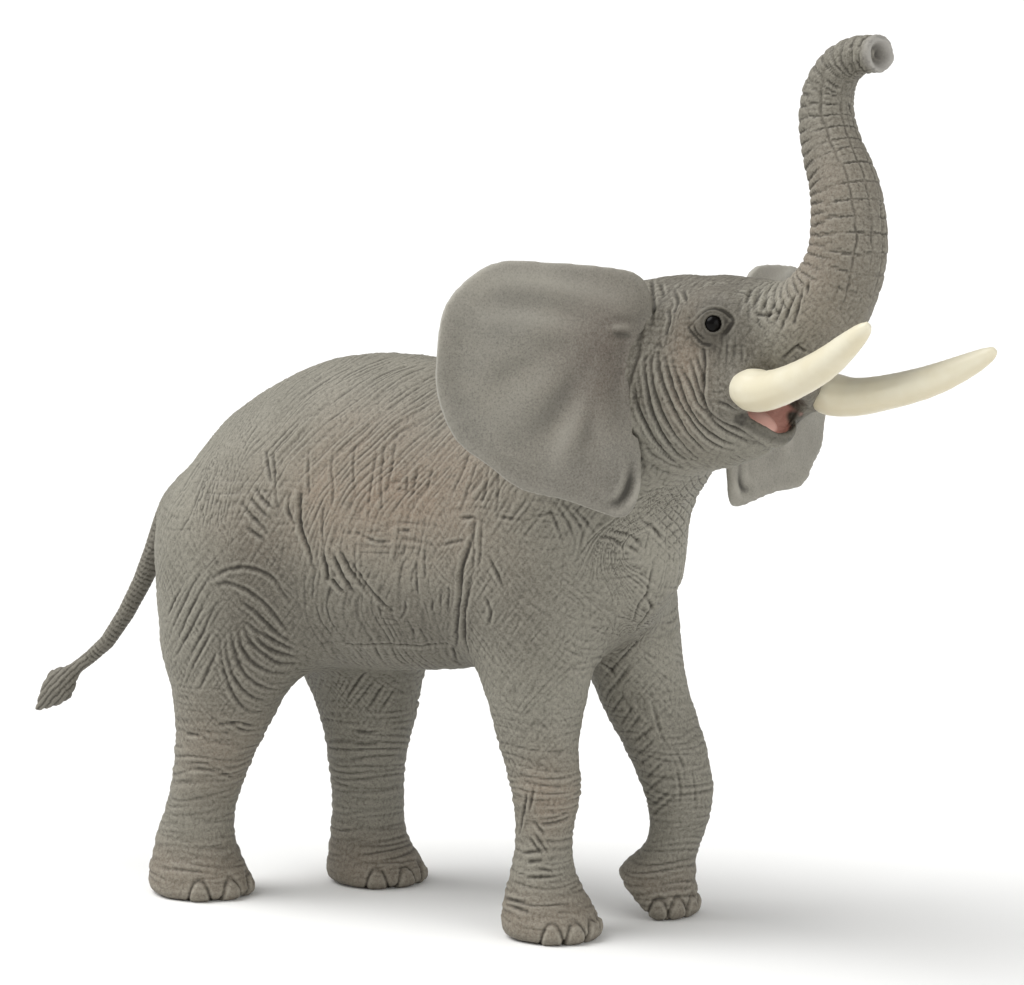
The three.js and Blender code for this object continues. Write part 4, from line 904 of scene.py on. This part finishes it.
in_hollow = np.linalg.norm((mouth - MOUTH_HOLLOW[0]) / MOUTH_HOLLOW[1], axis=1)
inwards = ((hollow_point - finished) * way).sum(1)
lining = (in_hollow < 1.3) * (inwards > 0) * step(1.25, 1.1, in_hollow) * step(1.0, 1.5, off_lip)
lining *= step(3.2, 1.6, mouth[:, 2]) * step(-1, 1, mouth[:, 0])
store(skin, "blush_and_painted_shade", np.clip(spots(RUDDY) + 0.4 * on_leg * step(16, 4, z), 0, 1))
store(skin, "mouth", np.clip(relaxed(lining, ends, 6) * 1.6 - 0.3, 0, 1))
store(skin, "shade", np.clip(dim, 0, 1))
store(skin, "pale", step(-3, 0.5, ahead) * step(8, 5, from_tip) * (1 - 0.9 * open_tip))

flow = skin.attributes.new("joined_normal", "FLOAT_VECTOR", "POINT")
flow.data.foreach_set("vector", normals(skin).astype(np.float32).ravel())


# Materials

def linear(hex_colour):
    """An sRGB colour such as 8a8070 as linear numbers."""
    parts = [int(hex_colour[i:i + 2], 16) / 255 for i in (0, 2, 4)]
    return (*[c / 12.92 if c <= 0.04045 else ((c + 0.055) / 1.055) ** 2.4 for c in parts], 1)


def add(paint, kind, inputs=None, **settings):
    """Adds a node, with its settings and with a value or a link for each input."""
    made = paint.node_tree.nodes.new("ShaderNode" + kind)
    for key, value in settings.items():
        setattr(made, key, value)
    for key, value in (inputs or {}).items():
        if isinstance(value, bpy.types.NodeSocket):
            paint.node_tree.links.new(value, made.inputs[key])
        else:
            made.inputs[key].default_value = value
    return made


def material(name):
    made = bpy.data.materials.new(name)
    made.use_nodes = True
    made.node_tree.nodes.clear()
    return made


def finish(made, shader):
    add(made, "OutputMaterial", {"Surface": shader.outputs["BSDF"]})
    return made


FACTOR, FIRST, SECOND, MIXED = 0, 6, 7, 2  # a colour Mix node's sockets


def per(size_mm):
    """A texture scale whose features are about this many millimetres across."""
    return 1 / (size_mm * MM)


def hide_paint(name, base, light, dark, blush_and_shade_tint, deep, tints):
    """Moulded PVC under matt acrylic: dark wash and painted shade lie in the folds and below, dry paint and
    painted highlights on the ridges.
    """
    made = material(name)
    place = add(made, "TexCoord").outputs["Object"]
    patches = add(made, "TexNoise", {"Vector": place, "Scale": per(14), "Detail": 4.0, "Roughness": 0.55})
    # stipple and grain are drawn coarser than the real dabs of 0.2 mm, so that they show
    stipple = add(made, "TexNoise", {"Vector": place, "Scale": per(0.45), "Detail": 3.0, "Roughness": 0.7})
    grain = add(made, "TexNoise", {"Vector": place, "Scale": per(0.35), "Detail": 2.0, "Roughness": 0.6})
    marks = ("wash_and_painted_shade", "drybrush_and_painted_light", "blush_and_painted_shade", "shade")
    wash_and_painted_shade, drybrush_and_painted_light, blush_and_painted_shade, shade = (
        add(made, "Attribute", attribute_name=mark).outputs["Fac"] for mark in marks
    )
    patchy = add(made, "MapRange", {"Value": patches.outputs["Fac"], "From Min": 0.35, "From Max": 0.65})
    speckled = add(made, "MapRange", {"Value": stipple.outputs["Fac"], "From Min": 0.3, "From Max": 0.7})
    colour = add(made, "Mix", {
        FACTOR: patchy.outputs["Result"], FIRST: linear(base[0]), SECOND: linear(base[1]),
    }, data_type="RGBA")
    uneven = add(made, "MapRange", {"Value": patchy.outputs["Result"], "To Min": 0.55, "To Max": 1.0})
    blush_and_shade_patches = add(made, "Math", {0: blush_and_painted_shade, 1: uneven.outputs["Result"]}, operation="MULTIPLY")
    dots = add(made, "Math", {0: speckled.outputs["Result"], 1: 0.42}, operation="MULTIPLY")
    flecks = add(made, "MapRange", {
        "Value": grain.outputs["Fac"], "From Min": 0.5, "From Max": 0.68, "To Max": 0.4,
    })
    drybrush_and_light_share = add(made, "Math", {0: drybrush_and_painted_light, 1: 0.4}, operation="MULTIPLY")
    wash_and_shade_share = add(made, "Math", {0: wash_and_painted_shade, 1: 0.8}, operation="MULTIPLY", use_clamp=True)
    # In order: a deep tone with painted shade, blush with painted shade on the ears, stipple, grain flecks,
    # dry paint with painted highlights, wash with painted shade
    coats = [
        (shade, deep), (blush_and_shade_patches.outputs[0], blush_and_shade_tint), (dots.outputs[0], light),
        (flecks.outputs["Result"], dark), (drybrush_and_light_share.outputs[0], light), (wash_and_shade_share.outputs[0], dark),
    ]
    coats += [(add(made, "Attribute", attribute_name=mark).outputs["Fac"], tint) for mark, tint in tints]
    for mask, tint in coats:
        colour = add(made, "Mix", {
            FACTOR: mask, FIRST: colour.outputs[MIXED], SECOND: linear(tint),
        }, data_type="RGBA")
    bump = add(made, "Bump", {"Height": grain.outputs["Fac"], "Distance": 0.1 * MM, "Strength": 1.0})
    rough = add(made, "MapRange", {"Value": stipple.outputs["Fac"], "To Min": 0.58, "To Max": 0.76})
    shader = add(made, "BsdfPrincipled", {
        "Base Color": colour.outputs[MIXED], "Roughness": rough.outputs["Result"],
        "Normal": bump.outputs["Normal"], "IOR": 1.46,
    })
    return finish(made, shader)


# Grey brown acrylic brushed over the moulding: dull, dark in the folds with wash and painted shade, dusty and
# ruddy in patches, with the mouth's lining painted pink and the trunk's tip left pale
painted_hide = hide_paint(
    "matt_acrylic_over_moulded_pvc", ("747165", "838074"), "a8a497", "38342c", "846f5b", "4f493e",
    (("mouth", "d49e90"), ("pale", "a4a19c")),
)
# The same acrylic stippled on the thin ears: smoother, with painted shade in a darker brown in the hollow and
# a painted highlight round the rim
painted_ear = hide_paint(
    "stippled_acrylic_over_moulded_pvc", ("757269", "817d72"), "a5a196", "403d36", "574b42", "4f4a43",
    (("rim", "aeaba2"),),
)


def plain_paint(name, colours, roughness, bump_mm, specular=0.5):
    """A smooth finish of two near tones, with a third where the wash and painted shade settle."""
    made = material(name)
    place = add(made, "TexCoord").outputs["Object"]
    cloud = add(made, "TexNoise", {"Vector": place, "Scale": per(6), "Detail": 3.0})
    grain = add(made, "TexNoise", {"Vector": place, "Scale": per(0.5), "Detail": 2.0})
    spread = add(made, "MapRange", {"Value": cloud.outputs["Fac"], "From Min": 0.35, "From Max": 0.65})
    colour = add(made, "Mix", {
        FACTOR: spread.outputs["Result"], FIRST: linear(colours[0]), SECOND: linear(colours[1]),
    }, data_type="RGBA")
    wash_and_painted_shade = add(made, "Attribute", attribute_name="wash_and_painted_shade").outputs["Fac"]
    colour = add(made, "Mix", {
        FACTOR: wash_and_painted_shade, FIRST: colour.outputs[MIXED], SECOND: linear(colours[2]),
    }, data_type="RGBA")
    bump = add(made, "Bump", {"Height": grain.outputs["Fac"], "Distance": bump_mm * MM, "Strength": 0.6})
    rough = add(made, "MapRange", {
        "Value": cloud.outputs["Fac"], "To Min": roughness - 0.05, "To Max": roughness + 0.08,
    })
    shader = add(made, "BsdfPrincipled", {
        "Base Color": colour.outputs[MIXED], "Roughness": rough.outputs["Result"],
        "Normal": bump.outputs["Normal"], "IOR": 1.5, "Specular IOR Level": specular,
    })
    return finish(made, shader)


# Moulded in its own warm colour: a satin sheen along the curve, and a darker ivory as painted shade in its
# hollows and on its underside
ivory = plain_paint("satin_moulded_ivory_pvc", ("e0dac4", "dad2b8", "b3a27e"), 0.36, 0.01)
# Black lacquer: a dark bead with one small soft highlight
eye_gloss = plain_paint("gloss_lacquered_eye", ("040303", "080504", "020202"), 0.25, 0.002, 0.12)
# Brushed on after the hide: flat, fleshy and without a highlight
tongue_paint = plain_paint("matt_pink_acrylic", ("e6b0a2", "eabaac", "b07c70"), 0.5, 0.03)


# The pieces

def show(mesh, name, finish_material, slot_name, *nodes):
    """Sets a piece in the place of its nodes."""
    piece = link(mesh, name)
    mesh.materials.clear()
    mesh.materials.append(finish_material)
    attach(piece, "root")
    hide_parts(*nodes)


CAP_INSET = 2.0  # of the faces that close a part, so that they stay off its neighbour's
MOUTH_INSET = 0.4  # near the mouth, where the flesh is thin
MOUTH_REACH = 15
mouth_middle = Vector(hollow_point)

for index, part in enumerate(PARTS):
    node = "torso" if part.startswith("torso") else part
    made = bmesh.new()
    made.from_mesh(skin)
    layer = made.faces.layers.int["part"]
    bmesh.ops.delete(made, geom=[f for f in made.faces if f[layer] != index], context="FACES")
    rim = [e for e in made.edges if e.is_boundary]
    flow = made.verts.layers.float_vector["joined_normal"]
    turned_in = bmesh.ops.extrude_edge_only(made, edges=rim)["geom"]
    for vertex in (g for g in turned_in if isinstance(g, bmesh.types.BMVert)):
        by_mouth = (vertex.co / MM - mouth_middle).length < MOUTH_REACH
        vertex.co -= vertex[flow] * (MOUTH_INSET if by_mouth else CAP_INSET) * MM
    bmesh.ops.holes_fill(made, edges=[e for e in made.edges if e.is_boundary], sides=0)
    bmesh.ops.recalc_face_normals(made, faces=made.faces)
    if made.calc_volume(signed=True) < 0:
        bmesh.ops.reverse_faces(made, faces=made.faces)
    piece_mesh = mesh_of(made, part + "_hide")
    for polygon in piece_mesh.polygons:
        polygon.use_smooth = True
    vectors = np.empty(len(piece_mesh.vertices) * 3, np.float32)
    piece_mesh.attributes["joined_normal"].data.foreach_get("vector", vectors)
    piece_mesh.normals_split_custom_set_from_vertices(vectors.reshape(-1, 3).tolist())
    show(piece_mesh, part + "_hide", painted_hide, "hide", node)


def finer(node, cell, passes):
    """A smooth copy of a solid, ready for relief."""
    mesh = revoxelled(mesh_of(cad_copy(node), node + "_fine"), cell)
    ends = joined(mesh)
    shape = places(mesh)
    soft = relaxed(shape, ends, passes)
    put(mesh, soft + relaxed(shape - soft, ends, passes))
    mesh.shade_smooth()
    return mesh


EAR_FOLDS = (
    # width and depth in mm, a ridge where it is below 0, and paths on the right ear in the picture
    (2.2, -0.5, (
        ((465, 296), (488, 283), (512, 279), (540, 281), (568, 288), (600, 293), (630, 298)),
    )),
    (3.0, 0.6, (
        ((608, 336), (583, 370), (553, 408), (529, 433), (516, 458)),
    )),
    (2.2, 0.45, (
        ((617, 333), (608, 372), (594, 408), (586, 445), (584, 472)),
    )),
    (2.0, -0.4, (
        ((596, 380), (573, 418), (558, 448), (552, 482)),
        ((470, 320), (500, 316), (540, 318), (585, 322)),
    )),
    (2.6, 0.35, (
        ((476, 305), (456, 340), (452, 385), (466, 420)),
        ((575, 342), (545, 352), (510, 368), (480, 395)),
    )),
    (0.8, -0.5, (
        ((610, 328), (624, 325), (637, 324)),
    )),
    (0.7, 0.45, (
        ((610, 334), (623, 332), (635, 333)),
    )),
    (0.9, -0.5, (
        ((630, 332), (631, 350), (626, 372), (620, 392), (617, 404)),
    )),
    (0.9, 0.45, (
        ((622, 338), (622, 356), (616, 380), (609, 402)),
    )),
    (0.9, 0.6, (
        ((632, 455), (631, 480), (622, 499), (608, 506)),
    )),
    (0.9, -0.4, (
        ((638, 468), (636, 492), (626, 508)),
    )),
)
EAR_REACH = 5.0  # within it, the upper ear is drawn onto the head's skin
EAR_PRESS = 0.9  # how deep it is then pressed into the skin
EAR_SUNK = 2.0  # how far from the skin that press still reaches
EAR_DRAWN = (97, 104)  # heights between which the drawing sets in
MEETING_GAP = 1.5  # an ear's points closer to the head than this are its root

bare_head = cad_copy("head")
head_tree = BVHTree.FromBMesh(bare_head)
bare_head.free()
meeting = []
for side in EARS:
    leaf = cad_copy(side + "_ear")
    meeting += [v.co / MM for v in leaf.verts if head_tree.find_nearest(v.co)[3] < MEETING_GAP * MM]
    leaf.free()


def on_leaf(points, ear):
    """Points as an ear's outline shows them: how far outward from its root, and how far up."""
    from_root = points - np.array(ear["root"])
    return np.stack((from_root @ np.array(ear["outward"]), from_root[..., 2]), -1)


for side, ear in EARS.items():
    mesh = finer(side + "_ear", EAR_CELL, 12)
    ends = joined(mesh)
    shape = places(mesh)
    if side == "right":
        ear_tree = tree_of(mesh)
        ear_paths = [
            (width, depth, on_leaf(path_over(ear_tree, pixels), ear))
            for width, depth, paths in EAR_FOLDS for pixels in paths
        ]
        hollow_of_ear = on_leaf(seen(ear_tree, *EAR_HOLLOW_SEEN), ear)
    forward = np.array(ear["forward"])
    flat = on_leaf(shape, ear)
    sunk = sum(groove(flat, path, width, depth) for width, depth, path in ear_paths)
    # painted shade in a darker brown in the ear's hollow by its root
    store(mesh, "blush_and_painted_shade", near(flat, hollow_of_ear, (9, 15)))
    facing = np.abs(normals(mesh) @ forward)
    off_head = gaps_to(shape, meeting)
    off_root = step(1, 6, off_head)
    ruffle = 0.35 * noise(shape / 9, 40) * step(16, 26, np.linalg.norm(flat, axis=1))
    drawn_in = np.zeros_like(shape)
    for number, point in enumerate(shape):
        hit, turn, _, gap = tree.find_nearest(Vector(point * MM))
        hit, turn, gap = np.array(hit) / MM, np.array(turn), gap / MM
        outside = (point - hit) @ turn > 0
        if gap < (EAR_REACH if outside else EAR_SUNK):
            drawn_in[number] = -EAR_PRESS * step(EAR_SUNK, 0.0, gap) * turn
            strength = outside * step(EAR_REACH, 1.0, gap) * step(*EAR_DRAWN, point[2])
            drawn_in[number] += strength * (hit - point)
    pressed = (sunk + ruffle) * off_root
    put(mesh, shape - pressed[:, None] * forward + relaxed(drawn_in, ends, 25))
    folded = sunk * off_root
    # painted light on the leaf's ridges, its upper part and the whole far ear; painted shade in its grooves
    light = np.clip(-folded * 1.1, 0, 0.7) + 0.4 * step(8, 20, flat[:, 1]) + 0.4 * (side == "left")
    paint_marks(mesh, ends, places(mesh), np.clip(0.4 * folded, 0, 0.2), light)
    # painted shade over the near ear's lower part
    store(mesh, "shade", 0.5 * step(-4, -16, flat[:, 1]) * (side == "right"))
    # a painted highlight along the leaf's edge, away from the head
    store(mesh, "rim", 0.6 * step(0.6, 0.2, facing) * step(4, 8, off_head))
    show(mesh, side + "_ear_hide", painted_ear, "hide", side + "_ear")

TUFT = (43, 40)  # along the tail, where the rings end and where the tuft's strands begin
TAIL_RING_SPACING, STRAND_SPACING = 1.15, 1.1
STRANDS_APART = (0.69, 0.25, -0.72)  # the way from strand to strand

mesh = finer("tail", TAIL_CELL, 10)
ends = joined(mesh)
shape = places(mesh)
tail_line = smooth_path(TAIL_LINE, 0.3)
travelled, _, index = along(tail_line, shape)
wobble = 0.25 * noise(shape / 2, 14)
on_stalk = step(*TUFT, travelled)
sunk = 0.22 * ringed(travelled + wobble, TAIL_RING_SPACING, 0.4) * on_stalk
strands = ringed((shape - tail_line[index]) @ STRANDS_APART + wobble, STRAND_SPACING, 0.5)
sunk += 0.25 * strands * (1 - on_stalk)
put(mesh, shape - sunk[:, None] * over_normals(mesh, ends, 3))
paint_marks(mesh, ends, places(mesh), 0.12)
store(mesh, "blush_and_painted_shade", np.zeros(len(shape)))
store(mesh, "shade", 0.9 + 0.1 * (1 - on_stalk))
show(mesh, "tail_hide", painted_hide, "hide", "tail")

for side in EARS:
    mesh = finer(side + "_tusk", TUSK_CELL, 10)
    paint_marks(mesh, joined(mesh), places(mesh))
    show(mesh, side + "_tusk_ivory", ivory, "ivory", side + "_tusk")
    outward = eye_ways[side][0]
    middle = np.array(EYES[side]) + EYE_FORWARD * outward
    mesh = mesh_of(ball(middle, eye_ways[side], (EYE_RADIUS,) * 3), side + "_eye_ball")
    mesh.shade_smooth()
    show(mesh, side + "_eye_ball", eye_gloss, "eye_gloss", side + "_eye")
mesh = mesh_of(mouth_ball(*TONGUE), "tongue_flesh")
mesh.shade_smooth()
show(mesh, "tongue_flesh", tongue_paint, "mouth_pink", "tongue")
bpy.data.meshes.remove(skin)


# Floor, light and camera

FLOOR_METRES = 60
SKY_STRENGTH = 0.45

floor_mesh = bmesh.new()
bmesh.ops.create_grid(floor_mesh, x_segments=1, y_segments=1, size=FLOOR_METRES)
floor = link(mesh_of(floor_mesh, "floor"), "floor")
floor_paint = material("matt_white_card")
place = add(floor_paint, "TexCoord").outputs["Object"]
fibres = add(floor_paint, "TexNoise", {"Vector": place, "Scale": per(40)})
tone = add(floor_paint, "Mix", {
    FACTOR: fibres.outputs["Fac"], FIRST: linear("f7f7f5"), SECOND: linear("fbfbfa"),
}, data_type="RGBA")
finish(floor_paint, add(floor_paint, "BsdfPrincipled", {"Base Color": tone.outputs[MIXED], "Roughness": 0.9}))
floor.data.materials.append(floor_paint)

world = bpy.data.worlds.new("studio")
bpy.context.scene.world = world
world.use_nodes = True
world.node_tree.nodes["Background"].inputs["Color"].default_value = (1, 1, 1, 1)
world.node_tree.nodes["Background"].inputs["Strength"].default_value = SKY_STRENGTH
bpy.context.scene.view_settings.view_transform = "Standard"


def soft_sun(name, comes_from, strength, spread):
    """A wide soft light from a direction, as from a big softbox."""
    data = bpy.data.lights.new(name, "SUN")
    data.energy = strength
    data.angle = math.radians(spread)
    made = bpy.data.objects.new(name, data)
    made.rotation_euler = Vector(comes_from).to_track_quat("Z", "Y").to_euler()
    bpy.context.scene.collection.objects.link(made)


soft_sun("overhead_softbox", (-0.6, -0.4, 1.0), 2.75, 50)
soft_sun("front_softbox", (1.0, -0.25, 0.25), 1.2, 60)

camera_data = bpy.data.cameras.new("photo_camera")
camera_data.sensor_width = SENSOR
camera_data.lens = FOCAL_PIXELS * SENSOR / PICTURE[0]
camera_data.clip_start = 0.01
camera = bpy.data.objects.new("photo_camera", camera_data)
camera.location = Vector(CAMERA_POINT * MM)
camera.rotation_euler = Vector(-BACKWARD).to_track_quat("-Z", "Y").to_euler()
bpy.context.scene.collection.objects.link(camera)
bpy.context.scene.camera = camera
